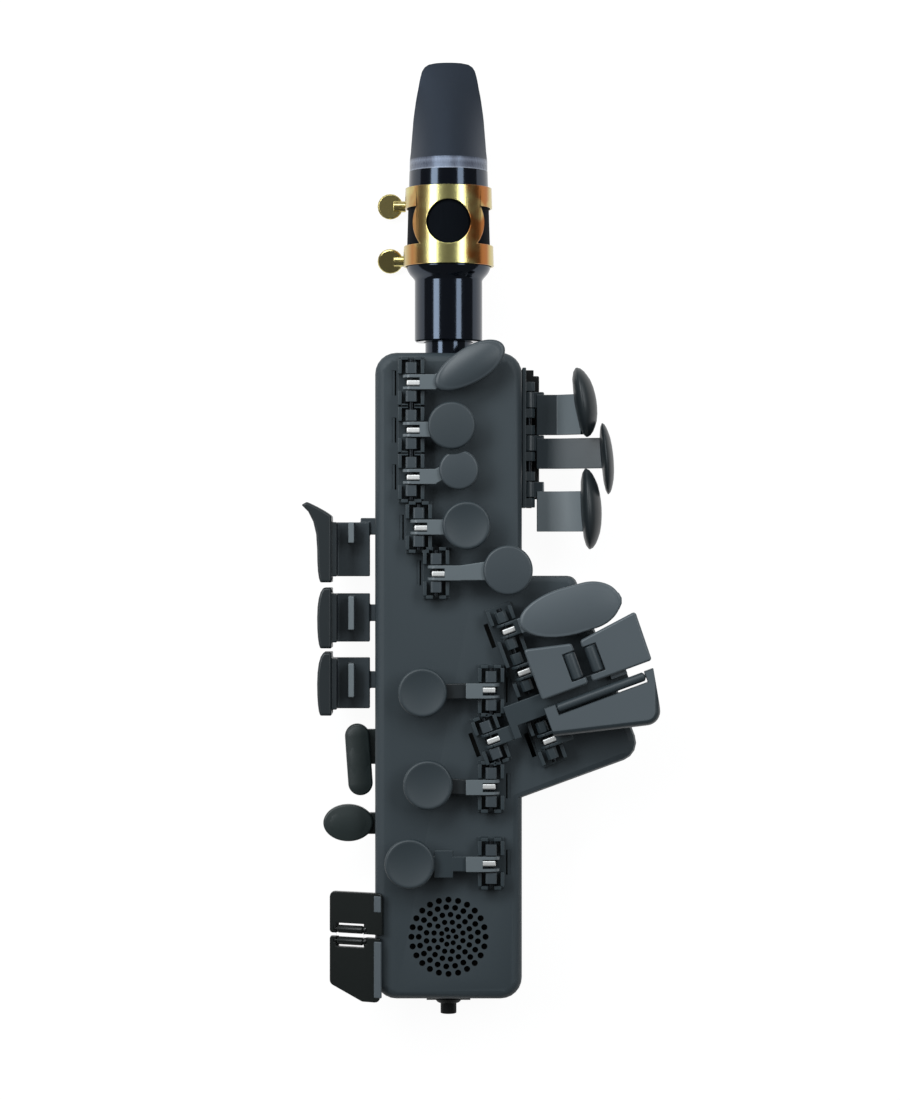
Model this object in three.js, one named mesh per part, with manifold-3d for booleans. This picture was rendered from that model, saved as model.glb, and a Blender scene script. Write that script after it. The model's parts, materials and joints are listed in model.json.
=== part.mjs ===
// Saxophone-style digital wind controller, lying on its back.
// Millimetres. +Z points out of the front keys, +Y to the mouthpiece, +X to the right seen from the front.
// The origin is the middle of the rear cover's flat back.

import * as THREE from "three";
import { mergeVertices } from "three/addons/utils/BufferGeometryUtils.js";
import Module from "manifold-3d";

const wasm = await Module();
wasm.setup();

// Fits
const SEAT_GAP = 0.3;
const RUN_GAP = 0.3;
const OVERRUN = 3;
const MERGE = 0.0001;
const ARC_STEPS = 4;
const BODY_ARC_STEPS = 6;
const BODY_EDGE_STEPS = 3;
const WING_EDGE_STEPS = 2;
const ROD_SIDES = 8;
const BORE_SIDES = 10;
const PIN_SIDES = 12;
const STEM_SIDES = 16;
const TOUCH_SIDES = 18;
const CONE_SIDES = 20;
const ROUND_SIDES = 24;
const OVAL_SIDES = 28;
const SLEEVE_SIDES = 32;
const SCOOP_SIDES = 36;
const HOLE_SIDES = 6;

// Body. DOWN is measured from its top end, UP from its foot end, IN from its side wall and OUT beyond that wall.
const BODY_W = 46.8;
const BODY_L = 206;
const CORE_HALF_W = BODY_W / 2;
const CORE_HALF_L = BODY_L / 2;
const BODY_T = 28;
const BODY_CORNER = 6.8;
const BODY_EDGE = 2.8;
const WALL = 2;
const SEAM_Z = 8;

// Wing under the left-hand table
const WING_BACK = 14;
const WING_EDGE = 2.2;
const WING_ROOT_IN = 11.4;
const WING_ROOT_X = CORE_HALF_W - WING_ROOT_IN;
const WING_TOP_RISE = 30.3;
const WING_TOP_OUT = 16.7;
const WING_TOP_X = CORE_HALF_W + WING_TOP_OUT;
const WING_FAR_OUT = 38.2;
const WING_FAR_X = CORE_HALF_W + WING_FAR_OUT;
const WING_FAR_DROP = 26.3;
const WING_FOOT_DROP = 40.3;
const WING_TOP_R = 3;
const WING_FAR_R = 6;

// Speaker grille
const GRILLE_UP = 20;
const GRILLE_RING_R = 11.8;
const GRILLE_RING_STEP = 2.35;
const GRILLE_HOLE_R = 0.95;
const GRILLE_HOLE_SHRINK = 0.11;
const GRILLE_PITCH = 3.08;

// Hinge of a front key, the same on every lever
const HINGE_H = 4.2;
const ROD_R = 0.9;
const HUB_HALF = 2.4;
const CHEEK = 0.95;
const CHEEK_R = 2.7;
const HUB_ARM = 8;
const ARM_TOP = 2.7;
const ARM_T = 1.7;
const KNUCKLE_L = 3.5;
const KNUCKLE_R = 1.95;
const KNUCKLE_FOOT = 1.8;
const CRADLE_HALF_W = 4.2;
const CRADLE_HALF_L = 8.2;
const CRADLE_T = 0.8;
const RAIL_IN = 3;
const RAIL_TOP = 0.6;
const ROD_END = 7.2;
const SLOT_AT = 5.5;
const SLOT_W = 1.4;
const SLOT_L = 8;

// Torsion springs round the rods
const SPRING_WIRE = 0.42;
const SPRING_R = 1.82;
const SPRING_PITCH = 0.9;
const SPRING_CURLS = 2;
const SPRING_STEPS = 8;
const SPRING_SIDES = 5;

// Touches
const TOUCH_T = 2.2;
const TOUCH_BOTTOM = 2;
const TOUCH_EDGE = 0.55;
const TOUCH_DISH = 0.8;
const TOUCH_CROWN = 0.3;
const STEM_R = 2.6;

// Upper stack
const UPPER_IN = 11.6;
const UPPER_X = -CORE_HALF_W + UPPER_IN;
const FRONT_F_HUB_DOWN = 9.8;
const FRONT_F_X = 7.6;
const FRONT_F_RISE = 5.6;
const FRONT_F_LONG = 12.8;
const FRONT_F_SHORT = 6;
const FRONT_F_TURN = 30;
const B_PITCH = 15;
const B_X = 1;
const B_RISE = 1.2;
const B_R = 7.55;
const BIS_PITCH = 14.9;
const BIS_X = 3.3;
const BIS_RISE = 2.1;
const BIS_R = 6.3;
const BIS_SCOOP_R = 9.2;
const A_HUB_IN = 14;
const A_HUB_X = -CORE_HALF_W + A_HUB_IN;
const A_PITCH = 16;
const A_X = 5.7;
const A_RISE = 0.5;
const A_R = 7.65;
const G_HUB_IN = 19.5;
const G_HUB_X = -CORE_HALF_W + G_HUB_IN;
const G_PITCH = 14.5;
const G_X = 18.8;
const G_RISE = 0.9;
const G_R = 7.85;
const G_ARM_END_HALF = 3.2;

// Lower stack
const LOWER_IN = 9.9;
const LOWER_X = CORE_HALF_W - LOWER_IN;
const F_PITCH = 30.5;
const F_X = -8.2;
const F_DROP = 0.5;
const F_R = 7.8;
const E_PITCH = 24.3;
const E_X = -6.5;
const E_RISE = 0.8;
const E_R = 7.85;
const D_HUB_UP = 43.7;
const D_X = -12.3;
const D_RISE = 0.2;
const D_R = 7.9;
const LOW_ARM_TOP = 1.2;
const D_PAD_START = 12;
const D_PAD_END = 18;
const D_PAD_HALF = 4.4;

// Left-hand table: its own frame, turned about Z, with the hinge axis along local Y
const TABLE_IN = 0.2;
const TABLE_X = CORE_HALF_W - TABLE_IN;
const TABLE_RISE = 6;
const TABLE_TURN = 20.3;
const TABLE_H = 4.6;
const G_SHARP_HUB_Y = 14;
const B_FLAT_HUB_Y = -23;
const PLATE_BOTTOM = 5.4;
const PLATE_T = 2.6;
const PLATE_EDGE = 0.5;
const PLATE_CORNER = 0.9;
const RISER_START = 4.2;
const G_SHARP_X = 21.2;
const G_SHARP_Y = 12.7;
const G_SHARP_LONG = 16.4;
const G_SHARP_SHORT = 7.4;
const G_SHARP_TURN = -5.3;
const G_SHARP_BOTTOM = 4.4;
const G_SHARP_T = 2.8;
const C_SHARP_LEFT = 2.85;
const C_SHARP_RIGHT = 18;
const C_SHARP_TOP_LEFT = 6.7;
const C_SHARP_TOP_RIGHT = 3.3;
const PAIR_FOOT = -10.4;
const LOW_B_LEFT = 20.1;
const LOW_B_RIGHT = 39.6;
const LOW_B_TOP_LEFT = 3.2;
const LOW_B_TOP_RIGHT = 5.8;
const PAIR_LEAN = 0.4;
const B_FLAT_LEFT = 2.4;
const B_FLAT_RIGHT = 39.1;
const B_FLAT_TOP = -12.9;
const B_FLAT_FOOT_LEFT = -21;
const B_FLAT_FOOT_RIGHT = -30;
const B_FLAT_FAR_R = 3.2;
const LOW_B_HUB_X = -16.6;
const LOW_B_HUB_Y = -16.8;
const LOW_B_H = 4.2;
const BRIDGE_BOTTOM = 1.6;
const BRIDGE_T = 1.9;
const BRIDGE_FOOT = -15.3;
const BRIDGE_TOP = -8.3;
const BRIDGE_START = -9.5;
const BRIDGE_END = 31;

// Rollers
const ROLLER_R = 1.85;
const ROLLER_L = 8.6;
const ROLLER_Y = -3.6;
const ROLLER_EDGE = 0.5;
const ROLLER_PIN_R = 0.6;
const ROLLER_PIN_L = 0.9;
const C_SHARP_ROLLER_X = 15.8;
const LOW_B_ROLLER_X = 22.7;
const LONG_ROLLER_R = 1.45;
const LONG_ROLLER_L = 29.2;
const LONG_ROLLER_X = 21.1;
const ROLLER_PROUD = 0.5;

// Palm keys on the right side
const PALM_OUT = 2.6;
const PALM_X = CORE_HALF_W + PALM_OUT;
const PALM_Z = 11;
const PALM_BRACKET_T = 1.2;
const PALM_BRACKET_ABOVE = 10;
const PALM_BRACKET_BELOW = 6;
const PALM_BRACKET_Z0 = 8.8;
const PALM_BRACKET_Z1 = 20;
const PALM_HUB_HALF = 2.5;
const PALM_KNUCKLE_L = 3;
const PALM_1_HUB_DOWN = 14.4;
const PALM_2_PITCH = 14;
const PALM_3_PITCH = 15;
const PALM_STRAP_T = 2.2;
const PALM_NECK_L = 2.6;
const PALM_STRAP_START = PALM_X + PALM_NECK_L;
const PALM_STRAP_HALF = 6.5;
const PALM_2_STRAP_HALF = 4.9;
const PALM_1_STRAP_DROP = 4.9;
const PALM_2_STRAP_DROP = 3.4;
const PALM_3_STRAP_DROP = 7.1;
const PALM_BEND_OUT = 7;
const PALM_BEND_RISE = 1.6;
const PALM_PAD_Z = 21.5;
const PALM_PAD_HALF_Z = 8.5;
const PALM_STRAP_TOP_Z = 19;
const PALM_1_REACH = 14.4;
const PALM_1_PAD_X = PALM_X + PALM_1_REACH;
const PALM_1_PAD_DROP = 1.6;
const PALM_1_PAD_HALF = 11.2;
const PALM_1_PAD_T = 7;
const PALM_1_LEAN = 9;
const PALM_2_REACH = 22.9;
const PALM_2_PAD_X = PALM_X + PALM_2_REACH;
const PALM_2_PAD_DROP = 5.4;
const PALM_2_PAD_HALF = 11.4;
const PALM_2_PAD_T = 3.9;
const PALM_2_LEAN = 5;
const PALM_3_REACH = 16.4;
const PALM_3_PAD_X = PALM_X + PALM_3_REACH;
const PALM_3_PAD_DROP = 6.5;
const PALM_3_PAD_HALF = 12.9;
const PALM_3_PAD_T = 6.6;
const PALM_3_LEAN = 3;

// Left-side rod and what turns on it
const SIDE_ROD_R = 1.15;
const SIDE_ROD_IN = 6.2;
const SIDE_ROD_X = -CORE_HALF_W + SIDE_ROD_IN;
const SIDE_ROD_Z = 12;
const SIDE_ROD_ABOVE = 6.1;
const SIDE_ROD_BELOW = 6.8;
const SIDE_BARREL_R = 2.4;
const SIDE_ARM_T = 3.2;
const SIDE_RIB_T = 2.6;
const SIDE_RIB_DEPTH = 9.8;
const SIDE_RIB_IN = -CORE_HALF_W + SIDE_RIB_DEPTH;
const SIDE_RIB_Z1 = 16;
const SIDE_SLOT_BELOW = 2.6;
const SIDE_SLOT_ABOVE = 3.6;
const SIDE_SLOT_SPARE = 0.6;
const SIDE_TOUCH_FRONT = 24.5;
const SIDE_TOUCH_BACK = 9.5;
const SIDE_TOUCH_PROUD = 18.6;
const SIDE_TOUCH_OUT = -CORE_HALF_W - SIDE_TOUCH_PROUD;
const SIDE_TOUCH_STAND = 14;
const SIDE_TOUCH_IN = -CORE_HALF_W - SIDE_TOUCH_STAND;
const SIDE_TOUCH_SHOULDER = 1;
const SIDE_LEDGE = 1.7;
const SIDE_BLOCK_OUT = 2;
const SIDE_BLOCK_IN = -CORE_HALF_W - SIDE_BLOCK_OUT;
const SIDE_BLOCK_T = 4.2;
const SIDE_RIB_OUT = 8.8;
const SIDE_RIB_X = -CORE_HALF_W - SIDE_RIB_OUT;
const SIDE_RIB_W = 1.9;
const SIDE_RIB_RISE = 5;
const SIDE_1_L = 21.2;
const SIDE_1_GAP = 1.7;
const SIDE_1_NECK_DROP = 3.2;
const SIDE_1_HOOK_OUT = 23.6;
const SIDE_1_HOOK_X = -CORE_HALF_W - SIDE_1_HOOK_OUT;
const SIDE_1_HOOK_RISE = 4.1;
const SIDE_2_L = 19.4;
const SIDE_2_GAP = 1.3;
const SIDE_2_NECK_DROP = 8.2;
const SIDE_3_L = 20.2;
const SIDE_3_GAP = 3;
const SIDE_3_NECK_DROP = 9.1;
const SIDE_NECK_HALF = 2.7;
const SIDE_BLOCK_INSET = 1.9;

// Ovals on the left side
const F_SHARP_OUT = 5.5;
const F_SHARP_X = -CORE_HALF_W - F_SHARP_OUT;
const F_SHARP_RISE = 20.4;
const F_SHARP_HALF_X = 3.9;
const F_SHARP_HALF_Y = 11.5;
const F_SHARP_TURN = 4;
const F_SHARP_NECK_RISE = 4;
const F_SHARP_NECK_HALF = 5.6;
const LOW_OVAL_OUT = 8.9;
const LOW_OVAL_X = -CORE_HALF_W - LOW_OVAL_OUT;
const LOW_OVAL_RISE = 21.2;
const LOW_OVAL_HALF_X = 8;
const LOW_OVAL_HALF_Y = 5.9;
const LOW_OVAL_NECK_DROP = 0.4;
const LOW_OVAL_NECK_HALF = 3.4;
const OVAL_BOTTOM = 1.4;
const OVAL_T = 3.4;

// Little-finger pair on the left side
const PINKY_OUT = 14.6;
const PINKY_OUT_X = -CORE_HALF_W - PINKY_OUT;
const PINKY_OUT_Z = 21.6;
const PINKY_KNEE_OUT = 1.8;
const PINKY_KNEE_X = -CORE_HALF_W - PINKY_KNEE_OUT;
const PINKY_KNEE_Z = 27.4;
const PINKY_LIP_IN = 2.8;
const PINKY_LIP_X = -CORE_HALF_W + PINKY_LIP_IN;
const PINKY_LIP_Z = 29.9;
const PINKY_T = 2.4;
const E_FLAT_L = 13.2;
const PINKY_PAIR_GAP = 1.1;
const E_FLAT_ARM_RISE = 7.8;
const LOW_C_L = 20.4;
const LOW_C_PAST = 0.7;
const LOW_C_ARM_RISE = 10.3;
const LOW_C_SLANT = 5.2;
const LOW_C_SLANT_X = 10.5;
const PINKY_ARM_HALF = 2.6;
const PINKY_CORNER = 1.8;
const PINKY_TILT = 1.1;
const PINKY_ROLLER_R = 1.3;
const PINKY_ROLLER_L = 9.2;
const PINKY_ROLLER_OUT = 7.8;
const PINKY_ROLLER_MID_X = -CORE_HALF_W - PINKY_ROLLER_OUT;
const PINKY_ROLLER_IN = 1.3;

// Mouthpiece end. Places along the mouthpiece, reed and ligature are measured from the foot of its shank.
const MOUTH_Z = 18;
const NECK_SHOWN = 3.8;
const NECK_R = 7.5;
const NECK_BORE_R = 4.5;
const NECK_INSIDE = 4.3;
const NECK_END_GAP = 7.5;
const NECK_FLANGE_HALF = 11;
const NECK_FLANGE_T = 2;
const SHANK_R = 10.85;
const SHANK_TOP = 19.7;
const FLARE_RUN = 4.4;
const BARREL_TOP_R = 12.45;
const FLARE_RISE = 1.05;
const FLARE_R = BARREL_TOP_R + FLARE_RISE;
const BEAK_GAP = 10.2;
const BEAK_MID_RUN = 21.6;
const BEAK_MID_NARROWING = 1.75;
const BEAK_MID_HALF = BARREL_TOP_R - BEAK_MID_NARROWING;
const TIP_SHOULDER_RUN = 7;
const TIP_NARROWING = 3.1;
const TIP_SHOULDER_HALF = BARREL_TOP_R - TIP_NARROWING;
const TIP_RUN = 3.2;
const TIP_T = 1.5;
const REED_BED = 1.95;
const TABLE_DEPTH = BARREL_TOP_R - REED_BED;
const MOUTH_BORE_PAST = 1.2;
const THROAT_R = 5.6;
const THROAT_PAST = 2;
const WINDOW_HALF = 5.2;
const WINDOW_OVERLAP = 7;
const WINDOW_TIP_GAP = 6.9;
const WINDOW_RISE = 5;
const REED_HALF = 6.5;
const REED_FOOT_DROP = 2.3;
const REED_TIP_GAP = 0.7;
const REED_VAMP_RISE = 1.6;
const REED_TIP_T = 0.5;
const REED_SINK = 0.1;
const REED_BACK_R = BARREL_TOP_R - REED_SINK;

// Ligature
const LIGATURE_T = 0.75;
const LIGATURE_SEAT = 0.1;
const LIGATURE_L = 25.2;
const LIGATURE_BAND = 6.6;
const LIGATURE_WINDOW_RISE = 13.4;
const LIGATURE_WINDOW_R = 7;
const LIGATURE_RING_R = 11.4;
const LIGATURE_SLIT_HALF = 2.6;
const LIGATURE_EAR_T = 1.3;
const LIGATURE_EAR_REACH = 1.85;
const LIGATURE_SIDE_BACK = -5;
const SCREW_R = 1.1;
const SCREW_CLEAR = 0.9;
const SCREW_DROP = FLARE_R + SEAT_GAP + LIGATURE_T + SCREW_CLEAR;
const SCREW_HEAD_X = -19;
const SCREW_HEAD_R = 4.15;
const SCREW_HEAD_T = 1.5;
const SCREW_COLLAR_R = 1.8;
const SCREW_COLLAR_L = 2.4;
const SCREW_END_X = 6.5;
const SCREW_UPPER_DROP = 4.1;
const SCREW_LOWER_RISE = 3.3;
const SCREW_LOWER_TURN = 24;

// Power button
const BUTTON_COLLAR_HALF = 7;
const BUTTON_COLLAR_H = 1;
const BUTTON_COLLAR_T = 7;
const BUTTON_R = 2.6;
const BUTTON_OUT = 4.7;
const BUTTON_IN = 4;
const BUTTON_FLANGE_R = 3.5;
const BUTTON_FLANGE_T = 1;
const BUTTON_Z = 18;

// Inside
const BOARD_IN = 4.4;
const BOARD_HALF_W = CORE_HALF_W - BOARD_IN;
const BOARD_NECK_GAP = 1.4;
const BOARD_SPEAKER_GAP = 4.8;
const BOARD_T = 1.6;
const BOARD_DROP = 2;
const BOARD_BOSS_R = 2;
const BATTERY_L = 62;
const BATTERY_LEFT_GAP = 3.1;
const BATTERY_RIGHT_GAP = 5.9;
const BATTERY_T = 8.5;
const BATTERY_UP = 76;
const BATTERY_LEFT = SIDE_RIB_IN + BATTERY_LEFT_GAP;
const BATTERY_RIGHT = CORE_HALF_W - WALL - BATTERY_RIGHT_GAP;
const BATTERY_W = BATTERY_RIGHT - BATTERY_LEFT;
const BATTERY_X = (BATTERY_LEFT + BATTERY_RIGHT) / 2;
const SPEAKER_R = 14.2;
const SPEAKER_RIM_T = 2.2;
const SPEAKER_CONE_T = 4.2;
const SPEAKER_MAGNET_R = 8.5;
const SPEAKER_MAGNET_T = 4.4;

// Back
const OCTAVE_DOWN = 29;
const OCTAVE_POCKET_HALF_X = 9;
const OCTAVE_POCKET_HALF_Y = 14;
const OCTAVE_POCKET_D = 3.8;
const OCTAVE_POCKET_R = 4;
const OCTAVE_ROD_RISE = 10.5;
const OCTAVE_ROD_R = 0.6;
const OCTAVE_ROD_Z = 2.1;
const OCTAVE_BARREL_R = 1.3;
const OCTAVE_LEVER_T = 1.7;
const OCTAVE_LEVER_HALF = 7;
const OCTAVE_LEVER_CORNER = 3;
const REST_DROP = 24;
const REST_R = 8;
const REST_D = 1.2;
const THUMB_UP = 79;
const THUMB_HALF_X = 8;
const THUMB_HALF_Y = 13;
const THUMB_D = 3;
const COVER_SCREW_R = 2.6;
const COVER_SCREW_D = 1.6;
const COVER_SCREW_IN = 7.9;
const COVER_SCREW_X = CORE_HALF_W - COVER_SCREW_IN;
const COVER_SCREW_DOWN = 9;
const COVER_BOSS_R = 4;

// Shapes of small forms, as shares of the sizes they follow
const GRILLE_PITCH_SHRINK = 0.2;
const THUMB_ROUND_SHARE = 0.8;
const TOUCH_BOWL_SHARE = 0.55;
const TOUCH_BOWL_DEPTH_SHARE = 0.7;
const PAD_FLAT_SHARE = 0.72;
const PAD_INNER_SHARE = 0.08;
const PAD_RIM_SHARE = 0.3;
const PAD_SHOULDER_SHARE = 0.95;
const PAD_OUTER_SHARE = 0.5;
const PAD_CROWN_SHARE = 0.6;
const PAD_CROWN_RISE_SHARE = 0.86;
const PAD_SEAT_SHARE = 0.4;
const SIDE_HOOK_ROUND = 0.5;
const MOUTH_SIDES = 28;
const BEAK_WAIST_SHARE = 0.4;
const BARREL_TAPER_SHARE = 0.3;
const TIP_ROUND_SHARE = 0.87;
const TIP_FLAT_SHARE = 0.55;

// Places along the object, worked out from the sizes above
const FRONT_F_HUB_Y = CORE_HALF_L - FRONT_F_HUB_DOWN;
const FRONT_F_Y = FRONT_F_HUB_Y + FRONT_F_RISE;
const B_HUB_Y = FRONT_F_HUB_Y - B_PITCH;
const B_Y = B_HUB_Y + B_RISE;
const BIS_HUB_Y = B_HUB_Y - BIS_PITCH;
const BIS_Y = BIS_HUB_Y + BIS_RISE;
const A_HUB_Y = BIS_HUB_Y - A_PITCH;
const A_Y = A_HUB_Y + A_RISE;
const G_HUB_Y = A_HUB_Y - G_PITCH;
const G_Y = G_HUB_Y + G_RISE;
const D_HUB_Y = D_HUB_UP - CORE_HALF_L;
const D_Y = D_HUB_Y + D_RISE;
const E_HUB_Y = D_HUB_Y + E_PITCH;
const E_Y = E_HUB_Y + E_RISE;
const F_HUB_Y = E_HUB_Y + F_PITCH;
const F_Y = F_HUB_Y - F_DROP;
const TABLE_Y = F_HUB_Y + TABLE_RISE;
const WING_TOP_Y = TABLE_Y + WING_TOP_RISE;
const WING_FAR_Y = TABLE_Y - WING_FAR_DROP;
const WING_FOOT_Y = TABLE_Y - WING_FOOT_DROP;
const PALM_1_HUB_Y = CORE_HALF_L - PALM_1_HUB_DOWN;
const PALM_2_HUB_Y = PALM_1_HUB_Y - PALM_2_PITCH;
const PALM_3_HUB_Y = PALM_2_HUB_Y - PALM_3_PITCH;
const PALM_1_STRAP_Y = PALM_1_HUB_Y - PALM_1_STRAP_DROP;
const PALM_2_STRAP_Y = PALM_2_HUB_Y - PALM_2_STRAP_DROP;
const PALM_3_STRAP_Y = PALM_3_HUB_Y - PALM_3_STRAP_DROP;
const PALM_1_PAD_Y = PALM_1_HUB_Y - PALM_1_PAD_DROP;
const PALM_2_PAD_Y = PALM_2_HUB_Y - PALM_2_PAD_DROP;
const PALM_3_PAD_Y = PALM_3_HUB_Y - PALM_3_PAD_DROP;
const PALM_BRACKET_TOP = PALM_1_HUB_Y + PALM_BRACKET_ABOVE;
const PALM_BRACKET_FOOT = PALM_3_HUB_Y - PALM_BRACKET_BELOW;
const LOW_C_FOOT = -CORE_HALF_L - LOW_C_PAST;
const LOW_C_TOP = LOW_C_FOOT + LOW_C_L;
const LOW_C_ARM_Y = LOW_C_FOOT + LOW_C_ARM_RISE;
const E_FLAT_FOOT = LOW_C_TOP + PINKY_PAIR_GAP;
const E_FLAT_TOP = E_FLAT_FOOT + E_FLAT_L;
const E_FLAT_ARM_Y = E_FLAT_FOOT + E_FLAT_ARM_RISE;
const LOW_OVAL_Y = E_FLAT_TOP + LOW_OVAL_RISE;
const LOW_OVAL_NECK_Y = LOW_OVAL_Y - LOW_OVAL_NECK_DROP;
const F_SHARP_Y = LOW_OVAL_Y + F_SHARP_RISE;
const F_SHARP_NECK_Y = F_SHARP_Y + F_SHARP_NECK_RISE;
const SIDE_3_FOOT = F_SHARP_Y + F_SHARP_HALF_Y + SIDE_3_GAP;
const SIDE_3_TOP = SIDE_3_FOOT + SIDE_3_L;
const SIDE_3_NECK = SIDE_3_TOP - SIDE_3_NECK_DROP;
const SIDE_2_FOOT = SIDE_3_TOP + SIDE_2_GAP;
const SIDE_2_TOP = SIDE_2_FOOT + SIDE_2_L;
const SIDE_2_NECK = SIDE_2_TOP - SIDE_2_NECK_DROP;
const SIDE_1_FOOT = SIDE_2_TOP + SIDE_1_GAP;
const SIDE_1_TOP = SIDE_1_FOOT + SIDE_1_L;
const SIDE_1_NECK = SIDE_1_TOP - SIDE_1_NECK_DROP;
const SIDE_1_HOOK_Y = SIDE_1_TOP + SIDE_1_HOOK_RISE;
const SIDE_ROD_TOP = SIDE_1_TOP + SIDE_ROD_ABOVE;
const SIDE_ROD_FOOT = LOW_C_ARM_Y - SIDE_ROD_BELOW;
const GRILLE_Y = GRILLE_UP - CORE_HALF_L;
const BOARD_FOOT = GRILLE_Y + SPEAKER_R + BOARD_SPEAKER_GAP;
const BOARD_TOP = CORE_HALF_L - WALL - SEAT_GAP - NECK_INSIDE - BOARD_NECK_GAP;
const BATTERY_Y = BATTERY_UP - CORE_HALF_L;
const THUMB_Y = THUMB_UP - CORE_HALF_L;
const COVER_SCREW_Y = CORE_HALF_L - COVER_SCREW_DOWN;
const OCTAVE_Y = CORE_HALF_L - OCTAVE_DOWN;
const OCTAVE_ROD_Y = OCTAVE_Y + OCTAVE_ROD_RISE;
const REST_Y = OCTAVE_Y - REST_DROP;
const SHANK_Y = CORE_HALF_L + NECK_SHOWN;
const FLARE_Y = SHANK_TOP + FLARE_RUN;
const LIGATURE_FOOT = FLARE_Y + LIGATURE_SEAT;
const LIGATURE_TOP = LIGATURE_FOOT + LIGATURE_L;
const LIGATURE_WINDOW_Y = LIGATURE_FOOT + LIGATURE_WINDOW_RISE;
const BEAK_FOOT = LIGATURE_TOP + BEAK_GAP;
const BEAK_MID = BEAK_FOOT + BEAK_MID_RUN;
const TIP_SHOULDER = BEAK_MID + TIP_SHOULDER_RUN;
const TIP_Y = TIP_SHOULDER + TIP_RUN;
const MOUTH_BORE_TOP = FLARE_Y + MOUTH_BORE_PAST;
const NECK_TOP = SHANK_Y + MOUTH_BORE_TOP - NECK_END_GAP;
const THROAT_TOP = LIGATURE_TOP + THROAT_PAST;
const WINDOW_FOOT = THROAT_TOP - WINDOW_OVERLAP;
const WINDOW_TOP = TIP_Y - WINDOW_TIP_GAP;
const REED_FOOT = FLARE_Y - REED_FOOT_DROP;
const REED_TIP = TIP_Y - REED_TIP_GAP;
const REED_VAMP = BEAK_FOOT + REED_VAMP_RISE;
const SCREW_UPPER_Y = LIGATURE_TOP - SCREW_UPPER_DROP;
const SCREW_LOWER_Y = LIGATURE_FOOT + SCREW_LOWER_RISE;

// Colours
const MATTE_BODY = new THREE.MeshStandardMaterial({ color: 0x3f474c, roughness: 0.62, metalness: 0 });
const KEY_GREY = new THREE.MeshStandardMaterial({ color: 0x4a5157, roughness: 0.55, metalness: 0 });
const GLOSS_BLACK = new THREE.MeshStandardMaterial({ color: 0x14161c, roughness: 0.12, metalness: 0 });
const RUBBER_BLACK = new THREE.MeshStandardMaterial({ color: 0x17191b, roughness: 0.8, metalness: 0 });
const BRASS = new THREE.MeshStandardMaterial({ color: 0xc9a44c, roughness: 0.25, metalness: 1 });
const STEEL = new THREE.MeshStandardMaterial({ color: 0xc4c7ca, roughness: 0.25, metalness: 1 });
const CANE = new THREE.MeshStandardMaterial({ color: 0xd8bd84, roughness: 0.7, metalness: 0 });
const BOARD_GREEN = new THREE.MeshStandardMaterial({ color: 0x1d4a30, roughness: 0.5, metalness: 0 });
const CELL_GREY = new THREE.MeshStandardMaterial({ color: 0xa9adb0, roughness: 0.4, metalness: 0.3 });
const CONE_BLACK = new THREE.MeshStandardMaterial({ color: 0x202224, roughness: 0.7, metalness: 0 });

const controller = new THREE.Group();

// Turns a three.js geometry into a solid that can be joined and cut.
function solid(geometry) {
  const bare = geometry.index ? geometry.toNonIndexed() : geometry.clone();
  bare.deleteAttribute("normal");
  bare.deleteAttribute("uv");
  const merged = mergeVertices(bare, MERGE);
  const index = merged.index.array;
  const triVerts = [];
  for (let i = 0; i < index.length; i += 3) {
    const [a, b, c] = index.slice(i, i + 3);
    if (a !== b && b !== c && c !== a) triVerts.push(a, b, c);
  }
  const vertProperties = merged.attributes.position.array;
  const mesh = new wasm.Mesh({ numProp: 3, vertProperties, triVerts: new Uint32Array(triVerts) });
  return new wasm.Manifold(mesh);
}

function join(...shapes) {
  return shapes.reduce((sum, shape) => sum.add(shape));
}

function cut(base, ...tools) {
  return tools.reduce((left, tool) => left.subtract(tool), base);
}

function geometryOf(shape) {
  const mesh = shape.getMesh();
  const geometry = new THREE.BufferGeometry();
  geometry.setAttribute("position", new THREE.BufferAttribute(mesh.vertProperties, 3));
  geometry.setIndex(new THREE.BufferAttribute(mesh.triVerts, 1));
  const faceted = geometry.toNonIndexed();
  faceted.computeVertexNormals();
  return faceted;
}

function piece(name, shape, material, parent = controller) {
  const mesh = new THREE.Mesh(geometryOf(shape), material);
  mesh.name = name;
  parent.add(mesh);
  return mesh;
}

const radians = THREE.MathUtils.degToRad;

// Primitive shapes, given by their limits.
function slab(x0, x1, y0, y1, z0, z1) {
  const box = new THREE.BoxGeometry(x1 - x0, y1 - y0, z1 - z0);
  box.translate((x0 + x1) / 2, (y0 + y1) / 2, (z0 + z1) / 2);
  return solid(box);
}

function roundAlongX(r, x0, x1, y, z, sides = PIN_SIDES) {
  const pin = new THREE.CylinderGeometry(r, r, x1 - x0, sides);
  pin.rotateZ(radians(90));
  pin.translate((x0 + x1) / 2, y, z);
  return solid(pin);
}

function roundAlongY(r, y0, y1, x, z, sides = PIN_SIDES) {
  const pin = new THREE.CylinderGeometry(r, r, y1 - y0, sides);
  pin.rotateY(radians(180 / sides));
  pin.translate(x, (y0 + y1) / 2, z);
  return solid(pin);
}

function roundAlongZ(r, z0, z1, x, y, sides = PIN_SIDES) {
  const pin = new THREE.CylinderGeometry(r, r, z1 - z0, sides);
  pin.rotateX(radians(90));
  pin.translate(x, y, (z0 + z1) / 2);
  return solid(pin);
}

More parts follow.
